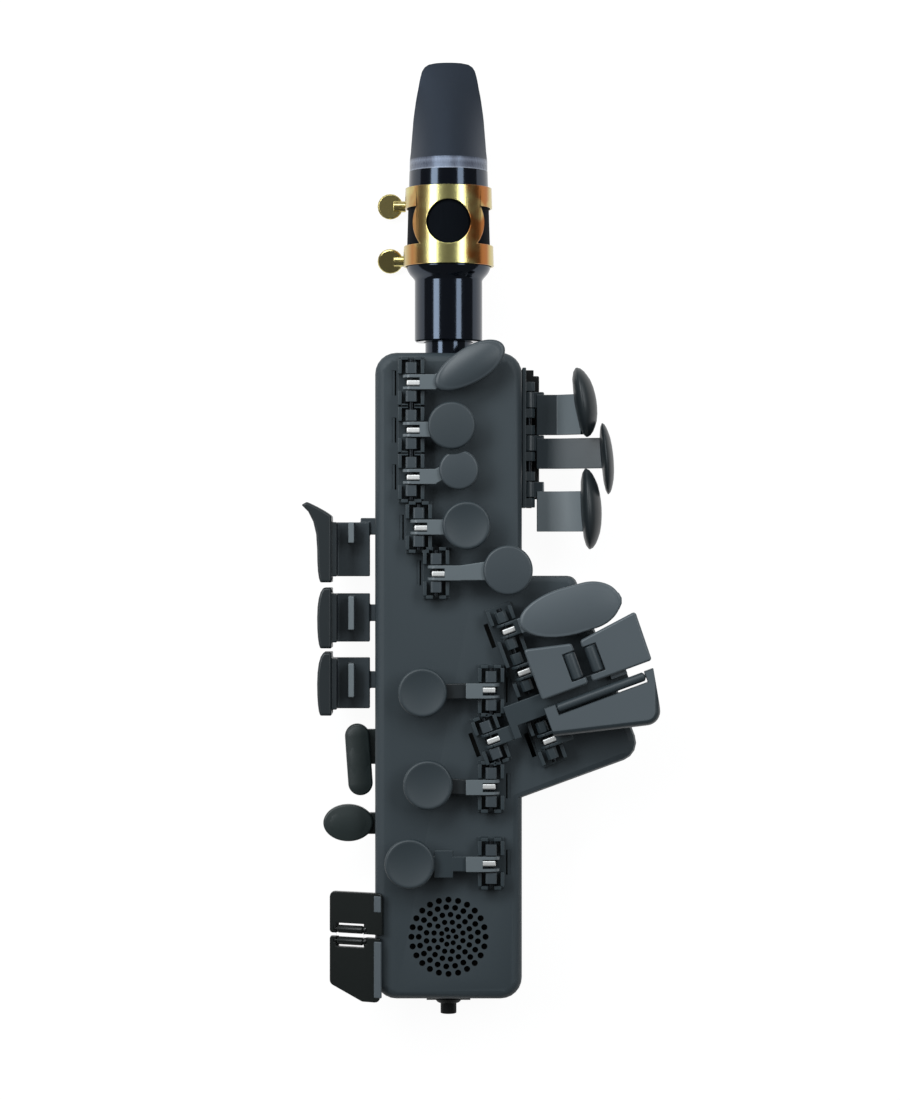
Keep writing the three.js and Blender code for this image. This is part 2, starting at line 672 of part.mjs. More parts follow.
// A closed outline through corners [x, y, radius], given counter-clockwise.
function roundedOutline(corners, steps = ARC_STEPS) {
  const count = corners.length;
  const points = corners.flatMap(([x, y, r], i) => {
    const at = new THREE.Vector2(x, y);
    if (!r) return [at];
    const last = new THREE.Vector2(...corners[(i + count - 1) % count]).sub(at).normalize();
    const next = new THREE.Vector2(...corners[(i + 1) % count]).sub(at).normalize();
    const half = Math.acos(last.dot(next)) / 2;
    const start = last.clone().multiplyScalar(r / Math.tan(half)).add(at);
    const centre = last.clone().add(next).normalize().multiplyScalar(r / Math.sin(half)).add(at);
    const sweep = (Math.PI - 2 * half) * Math.sign(next.cross(last));
    const round = [];
    for (let k = 0; k <= steps; k += 1) round.push(start.clone().rotateAround(centre, (sweep * k) / steps));
    return round;
  });
  return new THREE.Shape(points);
}

function roundedBox(halfX, halfY, r, x = 0, y = 0, steps = ARC_STEPS) {
  const corners = [
    [x - halfX, y - halfY, r],
    [x + halfX, y - halfY, r],
    [x + halfX, y + halfY, r],
    [x - halfX, y + halfY, r],
  ];
  return roundedOutline(corners, steps);
}

// A plate of an outline, from z0 to z1, with its edges rounded over on both faces.
function plateGeometry(outline, z0, z1, edge = 0, edgeSteps = 1, arcSteps = 2) {
  const plate = new THREE.ExtrudeGeometry(outline, {
    depth: z1 - z0 - 2 * edge,
    bevelEnabled: edge > 0,
    bevelThickness: edge,
    bevelSize: edge,
    bevelOffset: -edge,
    bevelSegments: edgeSteps,
    curveSegments: arcSteps,
  });
  plate.translate(0, 0, z0 + edge);
  return plate;
}

function plate(...values) {
  return solid(plateGeometry(...values));
}

// A strip of constant thickness that follows [x, z] points and is as wide as y0 to y1.
function strap(points, thickness, y0, y1) {
  const path = points.map(([x, z]) => new THREE.Vector2(x, z));
  const sides = [[], []];
  path.forEach((point, i) => {
    const before = path[Math.max(i - 1, 0)];
    const after = path[Math.min(i + 1, path.length - 1)];
    const along = after.clone().sub(before).normalize();
    const across = new THREE.Vector2(-along.y, along.x).multiplyScalar(thickness / 2);
    sides[0].push(point.clone().sub(across));
    sides[1].unshift(point.clone().add(across));
  });
  const section = new THREE.Shape([...sides[0], ...sides[1]]);
  const strip = new THREE.ExtrudeGeometry(section, { depth: y1 - y0, bevelEnabled: false });
  strip.rotateX(radians(90));
  strip.translate(0, y1, 0);
  return solid(strip);
}

// A body of revolution about Z from [radius, height] points.
function revolvedGeometry(profile, sides) {
  const points = profile.map(([r, z]) => new THREE.Vector2(r, z));
  const turned = new THREE.LatheGeometry(points, sides);
  turned.rotateX(radians(90));
  return turned;
}

// A skin over rings of points, each ring counter-clockwise seen from the last one.
function loft(rings) {
  const count = rings[0].length;
  const positions = rings.flat().flatMap((p) => [p.x, p.y, p.z]);
  const index = [];
  for (let r = 0; r < rings.length - 1; r += 1) {
    for (let i = 0; i < count; i += 1) {
      const a = r * count + i;
      const b = r * count + ((i + 1) % count);
      index.push(a, b, b + count, a, b + count, a + count);
    }
  }
  const last = (rings.length - 1) * count;
  for (let i = 1; i < count - 1; i += 1) {
    index.push(0, i + 1, i);
    index.push(last, last + i, last + i + 1);
  }
  const skin = new THREE.BufferGeometry();
  skin.setAttribute("position", new THREE.Float32BufferAttribute(positions, 3));
  skin.setIndex(index);
  return solid(skin);
}

// Body form: a rounded bar with softened long edges, and the wing.
const FRONT_Z = BODY_T;
const AXIS_Z = FRONT_Z + HINGE_H;
const WING_SLOPE_SHARE = (WING_FAR_Y - WING_FOOT_Y) / (WING_FAR_X - CORE_HALF_W);

function bodyForm() {
  const outline = roundedBox(CORE_HALF_W, CORE_HALF_L, BODY_CORNER, 0, 0, BODY_ARC_STEPS);
  return plate(outline, 0, BODY_T, BODY_EDGE, BODY_EDGE_STEPS);
}

function bodyCavity(z0, z1) {
  const inner = roundedBox(CORE_HALF_W - WALL, CORE_HALF_L - WALL, BODY_CORNER - WALL);
  return plate(inner, z0, z1);
}

function wingOutline(inset) {
  const rootFoot = WING_FOOT_Y - (CORE_HALF_W - WING_ROOT_X) * WING_SLOPE_SHARE;
  return roundedOutline([
    [WING_ROOT_X, rootFoot + inset, 0],
    [WING_FAR_X - inset, WING_FAR_Y + inset, WING_FAR_R - inset],
    [WING_TOP_X - inset, WING_TOP_Y - inset, WING_TOP_R - inset],
    [WING_ROOT_X, WING_TOP_Y - inset, 0],
  ]);
}

// Moves a finished shape into place: turned about Z by degrees, then shifted.
function moved(shape, x, y, z, turn = 0) {
  const geometry = geometryOf(shape);
  geometry.rotateZ(radians(turn));
  geometry.translate(x, y, z);
  return solid(geometry);
}

// Housing cut-outs
function hingeSlot(hubX, hubY, turn, side) {
  const at = -side * SLOT_AT;
  const tool = slab(at - SLOT_W / 2, at + SLOT_W / 2, -SLOT_L / 2, SLOT_L / 2, -WALL - OVERRUN, OVERRUN);
  return moved(tool, hubX, hubY, FRONT_Z, turn);
}

function tableToWorld(x, y) {
  const point = new THREE.Vector2(x, y).rotateAround(new THREE.Vector2(), radians(TABLE_TURN));
  return [point.x + TABLE_X, point.y + TABLE_Y];
}

const LOW_B_HUB = tableToWorld(LOW_B_HUB_X, LOW_B_HUB_Y);

function hingeSlots() {
  const upright = [
    [UPPER_X, FRONT_F_HUB_Y, 1],
    [UPPER_X, B_HUB_Y, 1],
    [UPPER_X, BIS_HUB_Y, 1],
    [A_HUB_X, A_HUB_Y, 1],
    [G_HUB_X, G_HUB_Y, 1],
    [LOWER_X, F_HUB_Y, -1],
    [LOWER_X, E_HUB_Y, -1],
    [LOWER_X, D_HUB_Y, -1],
  ];
  const turned = [tableToWorld(0, G_SHARP_HUB_Y), tableToWorld(0, B_FLAT_HUB_Y), LOW_B_HUB];
  return [
    ...upright.map(([x, y, side]) => hingeSlot(x, y, 0, side)),
    ...turned.map(([x, y]) => hingeSlot(x, y, TABLE_TURN, 1)),
  ];
}

// Speaker holes stand on rings; they shrink towards the middle, as many on a ring as the pitch allows.
function grilleHoles() {
  const holes = [];
  const rings = Math.floor(GRILLE_RING_R / GRILLE_RING_STEP);
  for (let ring = 0; ring <= rings; ring += 1) {
    const radius = GRILLE_RING_R - ring * GRILLE_RING_STEP;
    const holeR = GRILLE_HOLE_R - ring * GRILLE_HOLE_SHRINK;
    const pitch = GRILLE_PITCH - ring * GRILLE_PITCH_SHRINK;
    const count = Math.max(1, Math.round((2 * Math.PI * radius) / pitch));
    for (let i = 0; i < count; i += 1) {
      const angle = (2 * Math.PI * (i + (ring % 2) / 2)) / count;
      const x = radius * Math.cos(angle);
      const y = GRILLE_Y + radius * Math.sin(angle);
      holes.push(roundAlongZ(holeR, FRONT_Z - WALL - OVERRUN, FRONT_Z + OVERRUN, x, y, HOLE_SIDES));
    }
  }
  return holes;
}

// Openings of the left wall: the arms of the side keys, ovals and little-finger keys pass through them.
const sideArms = () => [
  [SIDE_1_NECK, SIDE_NECK_HALF],
  [SIDE_2_NECK, SIDE_NECK_HALF],
  [SIDE_3_NECK, SIDE_NECK_HALF],
  [F_SHARP_NECK_Y, F_SHARP_NECK_HALF],
  [LOW_OVAL_NECK_Y, LOW_OVAL_NECK_HALF],
  [E_FLAT_ARM_Y, PINKY_ARM_HALF],
  [LOW_C_ARM_Y, PINKY_ARM_HALF],
];

function sideSlots() {
  const z0 = SIDE_ROD_Z - SIDE_SLOT_BELOW;
  const z1 = SIDE_ROD_Z + SIDE_SLOT_ABOVE;
  return sideArms().map(([y, half]) => {
    const reach = half + SIDE_SLOT_SPARE;
    return slab(-CORE_HALF_W - OVERRUN, -CORE_HALF_W + WALL + OVERRUN / 2, y - reach, y + reach, z0, z1);
  });
}

// Ribs of the left wall carry the long rod between the arms.
function sideRibs() {
  const arms = sideArms();
  const places = [SIDE_ROD_TOP - SIDE_RIB_T];
  for (let i = 0; i < arms.length - 1; i += 1) {
    const above = arms[i][0] - arms[i][1];
    const below = arms[i + 1][0] + arms[i + 1][1];
    places.push((above + below) / 2);
  }
  places.push(SIDE_ROD_FOOT + SIDE_RIB_T);
  const wallIn = -CORE_HALF_W + WALL / 2;
  const z0 = SEAM_Z + SEAT_GAP;
  return places.map((y) => {
    const rib = slab(wallIn, SIDE_RIB_IN, y - SIDE_RIB_T / 2, y + SIDE_RIB_T / 2, z0, SIDE_RIB_Z1);
    const bore = roundAlongY(SIDE_ROD_R + RUN_GAP, y - SIDE_RIB_T, y + SIDE_RIB_T, SIDE_ROD_X, SIDE_ROD_Z, BORE_SIDES);
    return cut(rib, bore);
  });
}

const boardBosses = () => {
  const y0 = BOARD_FOOT + BOARD_BOSS_R * 2;
  const y1 = BOARD_TOP - BOARD_BOSS_R * 2;
  const x = BOARD_HALF_W - BOARD_BOSS_R;
  return [[-x, y0], [x, y0], [-x, y1], [x, y1]];
};

function frontHousing() {
  const wing = plate(wingOutline(0), WING_BACK, FRONT_Z, WING_EDGE, WING_EDGE_STEPS);
  const wingCavity = plate(wingOutline(WALL), WING_BACK + WALL, FRONT_Z - WALL);
  const outside = join(bodyForm(), wing);
  const front = outside.intersect(
    slab(-BODY_L, BODY_L, -BODY_L, BODY_L, SEAM_Z + SEAT_GAP / 2, FRONT_Z + OVERRUN),
  );
  const shell = cut(front, bodyCavity(-OVERRUN, FRONT_Z - WALL), wingCavity);
  const bossTop = FRONT_Z - WALL / 2;
  const bossFoot = FRONT_Z - WALL - BOARD_DROP + SEAT_GAP;
  const bosses = boardBosses().map(([x, y]) => roundAlongZ(BOARD_BOSS_R, bossFoot, bossTop, x, y));
  const collar = slab(
    -BUTTON_COLLAR_HALF,
    BUTTON_COLLAR_HALF,
    -CORE_HALF_L - BUTTON_COLLAR_H,
    -CORE_HALF_L + WALL,
    BUTTON_Z - BUTTON_COLLAR_T / 2,
    BUTTON_Z + BUTTON_COLLAR_T / 2,
  );
  const neckHole = roundAlongY(NECK_R + SEAT_GAP, CORE_HALF_L - WALL * 2, CORE_HALF_L + OVERRUN, 0, MOUTH_Z, ROUND_SIDES);
  const buttonHole = roundAlongY(
    BUTTON_R + RUN_GAP,
    -CORE_HALF_L - OVERRUN,
    -CORE_HALF_L + WALL * 2,
    0,
    BUTTON_Z,
    STEM_SIDES,
  );
  const built = join(shell, ...sideRibs(), ...bosses, collar);
  return cut(built, neckHole, buttonHole, ...sideSlots(), ...hingeSlots(), ...grilleHoles());
}

function rearCover() {
  const back = bodyForm().intersect(
    slab(-BODY_L, BODY_L, -BODY_L, BODY_L, -OVERRUN, SEAM_Z - SEAT_GAP / 2),
  );
  const shell = cut(back, bodyCavity(WALL, SEAM_Z + OVERRUN));
  const pocketBlock = plate(
    roundedBox(OCTAVE_POCKET_HALF_X + WALL, OCTAVE_POCKET_HALF_Y + WALL, OCTAVE_POCKET_R + WALL, 0, OCTAVE_Y),
    WALL / 2,
    OCTAVE_POCKET_D + WALL,
  );
  const pocket = plate(
    roundedBox(OCTAVE_POCKET_HALF_X, OCTAVE_POCKET_HALF_Y, OCTAVE_POCKET_R, 0, OCTAVE_Y),
    -OVERRUN,
    OCTAVE_POCKET_D,
  );
  const thumbBlock = plate(
    roundedBox(THUMB_HALF_X + WALL, THUMB_HALF_Y + WALL, THUMB_HALF_X, 0, THUMB_Y),
    WALL / 2,
    THUMB_D + WALL,
  );
  const thumb = plate(roundedBox(THUMB_HALF_X, THUMB_HALF_Y, THUMB_HALF_X * THUMB_ROUND_SHARE, 0, THUMB_Y), -OVERRUN, THUMB_D);
  const rest = roundAlongZ(REST_R, -OVERRUN, REST_D, 0, REST_Y, ROUND_SIDES);
  const screwPlaces = [-1, 1].flatMap((sx) => [-1, 1].map((sy) => [sx * COVER_SCREW_X, sy * COVER_SCREW_Y]));
  const bosses = screwPlaces.map(([x, y]) => roundAlongZ(COVER_BOSS_R, WALL / 2, SEAM_Z - SEAT_GAP / 2, x, y));
  const sinks = screwPlaces.map(([x, y]) => roundAlongZ(COVER_SCREW_R, -OVERRUN, COVER_SCREW_D, x, y));
  const rodSeat = OCTAVE_POCKET_HALF_X + WALL / 2;
  const rodHole = roundAlongX(OCTAVE_ROD_R + RUN_GAP, -rodSeat - RUN_GAP, rodSeat + RUN_GAP, OCTAVE_ROD_Y, OCTAVE_ROD_Z, ROD_SIDES);
  return cut(join(shell, pocketBlock, thumbBlock, ...bosses), pocket, thumb, rest, rodHole, ...sinks);
}

// A knuckle of a hinge: a block with its top corners taken off, in the rod's own frame.
function knuckleGeometry(y0, y1, base) {
  const half = KNUCKLE_R / 2;
  const profile = new THREE.Shape([
    new THREE.Vector2(-KNUCKLE_FOOT, base),
    new THREE.Vector2(KNUCKLE_FOOT, base),
    new THREE.Vector2(KNUCKLE_FOOT, half),
    new THREE.Vector2(half, KNUCKLE_R),
    new THREE.Vector2(-half, KNUCKLE_R),
    new THREE.Vector2(-KNUCKLE_FOOT, half),
  ]);
  const block = new THREE.ExtrudeGeometry(profile, { depth: y1 - y0, bevelEnabled: false });
  block.rotateX(radians(90));
  block.translate(0, y1, 0);
  return block;
}

const knuckle = (...values) => solid(knuckleGeometry(...values));

// Hinge cradle of one lever: a base, two pairs of rails and two knuckles, in the lever's own frame.
function cradleBlock(height, foot = -CRADLE_HALF_L, top = CRADLE_HALF_L) {
  const base0 = -height + SEAT_GAP;
  const base1 = base0 + CRADLE_T;
  const hubEnd = HUB_HALF + RUN_GAP;
  const parts = [slab(-CRADLE_HALF_W, CRADLE_HALF_W, foot, top, base0, base1)];
  for (const [y0, y1] of [[hubEnd, ROD_END], [-ROD_END, -hubEnd]]) {
    parts.push(slab(RAIL_IN, CRADLE_HALF_W, y0, y1, base0, RAIL_TOP));
    parts.push(slab(-CRADLE_HALF_W, -RAIL_IN, y0, y1, base0, RAIL_TOP));
  }
  for (const y0 of [hubEnd, -hubEnd - KNUCKLE_L]) parts.push(knuckle(y0, y0 + KNUCKLE_L, base0));
  const bore = roundAlongY(ROD_R + RUN_GAP, foot - OVERRUN, top + OVERRUN, 0, 0, ROD_SIDES);
  return cut(join(...parts), bore);
}

// A torsion spring of round wire that winds about the rod; its inner end is bent in to the rod.
class Coil extends THREE.Curve {
  getPoint(t) {
    const turn = 2 * Math.PI * SPRING_CURLS * t;
    const along = (t - 1 / 2) * SPRING_CURLS * SPRING_PITCH;
    return new THREE.Vector3(SPRING_R * Math.cos(turn), along, SPRING_R * Math.sin(turn));
  }
}

function springSolid(y) {
  const wire = new THREE.Shape();
  for (let i = 0; i < SPRING_SIDES; i += 1) {
    const angle = (2 * Math.PI * i) / SPRING_SIDES;
    const x = (SPRING_WIRE / 2) * Math.cos(angle);
    const z = (SPRING_WIRE / 2) * Math.sin(angle);
    if (i) wire.lineTo(x, z);
    else wire.moveTo(x, z);
  }
  wire.closePath();
  const steps = SPRING_CURLS * SPRING_STEPS;
  const tube = new THREE.ExtrudeGeometry(wire, { steps, extrudePath: new Coil() });
  tube.translate(0, y, 0);
  const end = y + (SPRING_CURLS * SPRING_PITCH) / 2;
  const leg = roundAlongX(SPRING_WIRE / 2, 0, SPRING_R + SPRING_WIRE / 4, end, 0, SPRING_SIDES);
  return join(solid(tube), leg);
}

// The least gap between neighbouring turns, measured on points of the wire's middle line.
function springGap() {
  const perCurl = 24;
  const points = new Coil().getPoints(SPRING_CURLS * perCurl);
  let least = Infinity;
  points.forEach((a, i) => {
    for (let j = i + perCurl / 2; j < points.length; j += 1) least = Math.min(least, a.distanceTo(points[j]));
  });
  return least - SPRING_WIRE;
}

console.log("least gap between spring turns, mm:", springGap().toFixed(2));

// A hinge rod along Y with its springs, in a frame whose origin is on its axis.
function hingeRod(hubs) {
  const foot = Math.min(...hubs) - ROD_END;
  const top = Math.max(...hubs) + ROD_END;
  return join(roundAlongY(ROD_R, foot, top, 0, 0, ROD_SIDES), ...hubs.map(springSolid));
}

// The forked hub of a front lever: two cheeks on the rod, a window between them, and the arm's root.
function leverHub() {
  const cheeks = roundAlongY(CHEEK_R, -HUB_HALF, HUB_HALF, 0, 0, PIN_SIDES);
  const root = slab(0, HUB_ARM, -HUB_HALF, HUB_HALF, ARM_TOP - ARM_T, ARM_TOP);
  const inner = HUB_HALF - CHEEK;
  const window = slab(-CHEEK_R - OVERRUN, CHEEK_R, -inner, inner, -CHEEK_R - OVERRUN, ARM_TOP + OVERRUN);
  const bore = roundAlongY(ROD_R + RUN_GAP, -HUB_HALF - OVERRUN, HUB_HALF + OVERRUN, 0, 0, ROD_SIDES);
  return cut(join(cheeks, root), window, bore);
}

// A touch: a round or oval button with a softened rim, dished when hollow is positive, crowned when negative.
function touchGeometry(longR, shortR, hollow, bottom = TOUCH_BOTTOM, thick = TOUCH_T, sides = TOUCH_SIDES) {
  const top = bottom + thick;
  const rim = longR - TOUCH_EDGE;
  const profile = [
    [0, bottom],
    [longR, bottom],
    [longR, top - TOUCH_EDGE],
    [rim, top],
    [longR * TOUCH_BOWL_SHARE, top - hollow * TOUCH_BOWL_DEPTH_SHARE],
    [0, top - hollow],
  ];
  const button = revolvedGeometry(profile, sides);
  button.scale(1, shortR / longR, 1);
  return button;
}

function touch(x, y, longR, shortR, hollow, turn = 0, ...rest) {
  const button = touchGeometry(longR, shortR, hollow, ...rest);
  button.rotateZ(radians(turn));
  button.translate(x, y, 0);
  return solid(button);
}

// An arm: a tapering flat bar between two points of the lever.
function arm(x0, y0, half0, x1, y1, half1, top, thick = ARM_T) {
  const outline = roundedOutline([[x0, y0 - half0, 0], [x1, y1 - half1, 0], [x1, y1 + half1, 0], [x0, y0 + half0, 0]]);
  return plate(outline, top - thick, top);
}

function leverAt(name, shape, x, y, turn) {
  const lever = piece(name, shape, KEY_GREY);
  lever.position.set(x, y, AXIS_Z);
  lever.rotation.z = radians(turn);
}

// Upper stack
function upperKey(name, hubX, hubY, x, y, r, hollow, armHalf = HUB_HALF) {
  const reach = x - hubX;
  const rise = y - hubY;
  const bar = arm(HUB_ARM - ARM_T, 0, HUB_HALF, reach - r / 2, rise, armHalf, ARM_TOP);
  const disc = touch(reach, rise, r, r, hollow);
  return [name, join(leverHub(), bar, disc), hubX, hubY];
}

function frontFKey() {
  const reach = FRONT_F_X - UPPER_X;
  const rise = FRONT_F_Y - FRONT_F_HUB_Y;
  const bar = arm(HUB_ARM - ARM_T, 0, HUB_HALF, reach - FRONT_F_SHORT, rise / 2, HUB_HALF, ARM_TOP);
  const leaf = touch(reach, rise, FRONT_F_LONG, FRONT_F_SHORT, -TOUCH_CROWN, FRONT_F_TURN);
  leverAt("key_front_f", join(leverHub(), bar, leaf), UPPER_X, FRONT_F_HUB_Y, 0);
}

function bisKey() {
  const [name, shape, x, y] = upperKey("key_bis", UPPER_X, BIS_HUB_Y, BIS_X, BIS_Y, BIS_R, -TOUCH_CROWN);
  const scoop = roundAlongZ(BIS_SCOOP_R, TOUCH_BOTTOM - OVERRUN, TOUCH_BOTTOM + TOUCH_T + OVERRUN, B_X - x, B_Y - y, SCOOP_SIDES);
  leverAt(name, cut(shape, scoop), x, y, 0);
}

function upperStack() {
  frontFKey();
  leverAt(...upperKey("key_b", UPPER_X, B_HUB_Y, B_X, B_Y, B_R, -TOUCH_CROWN), 0);
  bisKey();
  leverAt(...upperKey("key_a", A_HUB_X, A_HUB_Y, A_X, A_Y, A_R, TOUCH_DISH), 0);
  leverAt(...upperKey("key_g", G_HUB_X, G_HUB_Y, G_X, G_Y, G_R, -TOUCH_CROWN, G_ARM_END_HALF), 0);
  const hubs = [FRONT_F_HUB_Y, B_HUB_Y, BIS_HUB_Y].map((y) => [UPPER_X, y]);
  hubs.push([A_HUB_X, A_HUB_Y], [G_HUB_X, G_HUB_Y]);
  const blocks = hubs.map(([x, y]) => moved(cradleBlock(HINGE_H), x, y, AXIS_Z));
  piece("hinge_cradle_upper", join(...blocks), MATTE_BODY);
  const stackHubs = [FRONT_F_HUB_Y - B_HUB_Y, 0, BIS_HUB_Y - B_HUB_Y];
  piece("hinge_rod_upper", hingeRod(stackHubs), STEEL).position.set(UPPER_X, B_HUB_Y, AXIS_Z);
  piece("hinge_rod_a", hingeRod([0]), STEEL).position.set(A_HUB_X, A_HUB_Y, AXIS_Z);
  piece("hinge_rod_g", hingeRod([0]), STEEL).position.set(G_HUB_X, G_HUB_Y, AXIS_Z);
}

// Lower stack: the arms step down towards their touches.
function lowerKey(hubY, x, y, r) {
  const reach = LOWER_X - x;
  const rise = hubY - y;
  const bar = arm(HUB_ARM - ARM_T / 2, 0, HUB_HALF, reach, rise, HUB_HALF, LOW_ARM_TOP);
  const stem = roundAlongZ(STEM_R, LOW_ARM_TOP - ARM_T, TOUCH_BOTTOM + TOUCH_EDGE, reach, rise);
  return join(leverHub(), bar, stem, touch(reach, rise, r, r, TOUCH_DISH));
}

function lowerStack() {
  leverAt("key_f", lowerKey(F_HUB_Y, F_X, F_Y, F_R), LOWER_X, F_HUB_Y, 180);
  leverAt("key_e", lowerKey(E_HUB_Y, E_X, E_Y, E_R), LOWER_X, E_HUB_Y, 180);
  const wide = slab(D_PAD_START, D_PAD_END, -D_PAD_HALF, D_PAD_HALF, LOW_ARM_TOP - ARM_T, LOW_ARM_TOP);
  leverAt("key_d", join(lowerKey(D_HUB_Y, D_X, D_Y, D_R), wide), LOWER_X, D_HUB_Y, 180);
  const blocks = [F_HUB_Y, E_HUB_Y].map((y) => moved(cradleBlock(HINGE_H), LOWER_X, y, AXIS_Z));
  blocks.push(moved(cradleBlock(HINGE_H), ...LOW_B_HUB, AXIS_Z, TABLE_TURN));
  const run = E_HUB_Y + CRADLE_HALF_L;
  const bore = roundAlongY(ROD_R + RUN_GAP, run - CRADLE_HALF_L, run + OVERRUN, LOWER_X, AXIS_Z, ROD_SIDES);
  piece("hinge_cradle_lower", cut(join(...blocks), bore), MATTE_BODY);
  piece("hinge_cradle_d", cradleBlock(HINGE_H), MATTE_BODY).position.set(LOWER_X, D_HUB_Y, AXIS_Z);
  piece("hinge_rod_f", hingeRod([0]), STEEL).position.set(LOWER_X, F_HUB_Y, AXIS_Z);
  piece("hinge_rod_e", hingeRod([0]), STEEL).position.set(LOWER_X, E_HUB_Y, AXIS_Z);
  piece("hinge_rod_d", hingeRod([0]), STEEL).position.set(LOWER_X, D_HUB_Y, AXIS_Z);
}

// Left-hand table
const table = new THREE.Group();
table.position.set(TABLE_X, TABLE_Y, FRONT_Z + TABLE_H);
table.rotation.z = radians(TABLE_TURN);
controller.add(table);
const LOW_B_Z = LOW_B_H - TABLE_H;
const PLATE_TOP = PLATE_BOTTOM + PLATE_T;

function tablePlate(corners) {
  return plate(roundedOutline(corners), PLATE_BOTTOM, PLATE_TOP, PLATE_EDGE);
}

// The pocket of a roller that lies along Y on a facing edge, with the two holes of its pins.
function rollerPocket(x, edgeX) {
  const half = ROLLER_L / 2 + RUN_GAP;
  const away = Math.sign(x - edgeX) * (ROLLER_R + RUN_GAP);
  const x0 = Math.min(x + away, edgeX - away);
  const x1 = Math.max(x + away, edgeX - away);
  const z = PLATE_TOP + ROLLER_PROUD - ROLLER_R;
  const pinReach = ROLLER_L / 2 + ROLLER_PIN_L + RUN_GAP;
  const pin = roundAlongY(ROLLER_PIN_R + RUN_GAP, ROLLER_Y - pinReach, ROLLER_Y + pinReach, x, z, ROD_SIDES);
  return join(
    slab(x0, x1, ROLLER_Y - half, ROLLER_Y + half, PLATE_BOTTOM - OVERRUN, PLATE_TOP + OVERRUN),
    pin,
  );
}

function rollerGeometry(r, length, pinR, pinL) {
  const half = length / 2;
  return revolvedGeometry(
    [
      [0, -half - pinL],
      [pinR, -half - pinL],
      [pinR, -half],
      [r - ROLLER_EDGE, -half],
      [r, -half + ROLLER_EDGE],
      [r, half - ROLLER_EDGE],
      [r - ROLLER_EDGE, half],
      [pinR, half],
      [pinR, half + pinL],
      [0, half + pinL],
    ],
    PIN_SIDES,
  );
}

function roller(name, r, length) {
  return piece(name, solid(rollerGeometry(r, length, ROLLER_PIN_R, ROLLER_PIN_L)), KEY_GREY, table);
}

function riser(y) {
  return slab(RISER_START, HUB_ARM, y - HUB_HALF, y + HUB_HALF, ARM_TOP - ARM_T, PLATE_BOTTOM + PLATE_EDGE);
}

function tableKey(name, hubY, ...shapes) {
  const hub = moved(leverHub(), 0, hubY, 0);
  return piece(name, join(hub, ...shapes), KEY_GREY, table);
}

function gSharpKey() {
  const oval = touch(
    G_SHARP_X,
    G_SHARP_Y,
    G_SHARP_LONG,
    G_SHARP_SHORT,
    -TOUCH_CROWN,
    G_SHARP_TURN,
    G_SHARP_BOTTOM,
    G_SHARP_T,
    OVAL_SIDES,
  );
  tableKey("key_g_sharp", G_SHARP_HUB_Y, riser(G_SHARP_HUB_Y), oval);
}

function cSharpKey() {
  const flat = tablePlate([
    [C_SHARP_LEFT, PAIR_FOOT, PLATE_CORNER],
    [C_SHARP_RIGHT + PAIR_LEAN, PAIR_FOOT, PLATE_CORNER],
    [C_SHARP_RIGHT - PAIR_LEAN, C_SHARP_TOP_RIGHT, PLATE_CORNER],
    [C_SHARP_LEFT, C_SHARP_TOP_LEFT, PLATE_CORNER],
  ]);
  const pocket = rollerPocket(C_SHARP_ROLLER_X, C_SHARP_RIGHT);
  tableKey("key_c_sharp", 0, riser(0), cut(flat, pocket));
  roller("roller_c_sharp", ROLLER_R, ROLLER_L);
}

function lowBKey() {
  const flat = tablePlate([
    [LOW_B_LEFT - PAIR_LEAN, PAIR_FOOT, PLATE_CORNER],
    [LOW_B_RIGHT, PAIR_FOOT, PLATE_CORNER],
    [LOW_B_RIGHT + PAIR_LEAN, LOW_B_TOP_RIGHT, PLATE_CORNER],
    [LOW_B_LEFT + PAIR_LEAN, LOW_B_TOP_LEFT, PLATE_CORNER],
  ]);
  const pocket = rollerPocket(LOW_B_ROLLER_X, LOW_B_LEFT);
  const hub = moved(leverHub(), LOW_B_HUB_X, LOW_B_HUB_Y, LOW_B_Z);
  const bridge = slab(BRIDGE_START, BRIDGE_END, BRIDGE_FOOT, BRIDGE_TOP, BRIDGE_BOTTOM, BRIDGE_BOTTOM + BRIDGE_T);
  const link = slab(
    BRIDGE_START,
    BRIDGE_START + HUB_HALF,
    LOW_B_HUB_Y - HUB_HALF,
    BRIDGE_TOP,
    LOW_B_Z + ARM_TOP - ARM_T,
    BRIDGE_BOTTOM + BRIDGE_T,
  );
  const post = slab(
    (LOW_B_LEFT + BRIDGE_END) / 2,
    BRIDGE_END,
    BRIDGE_FOOT + (BRIDGE_TOP - BRIDGE_FOOT) / 2,
    BRIDGE_TOP,
    BRIDGE_BOTTOM,
    PLATE_BOTTOM + PLATE_EDGE,
  );
  piece("key_low_b", join(hub, link, bridge, post, cut(flat, pocket)), KEY_GREY, table);
  const rod = piece("hinge_rod_low_b", hingeRod([0]), STEEL, table);
  rod.position.set(LOW_B_HUB_X, LOW_B_HUB_Y, LOW_B_Z);
}

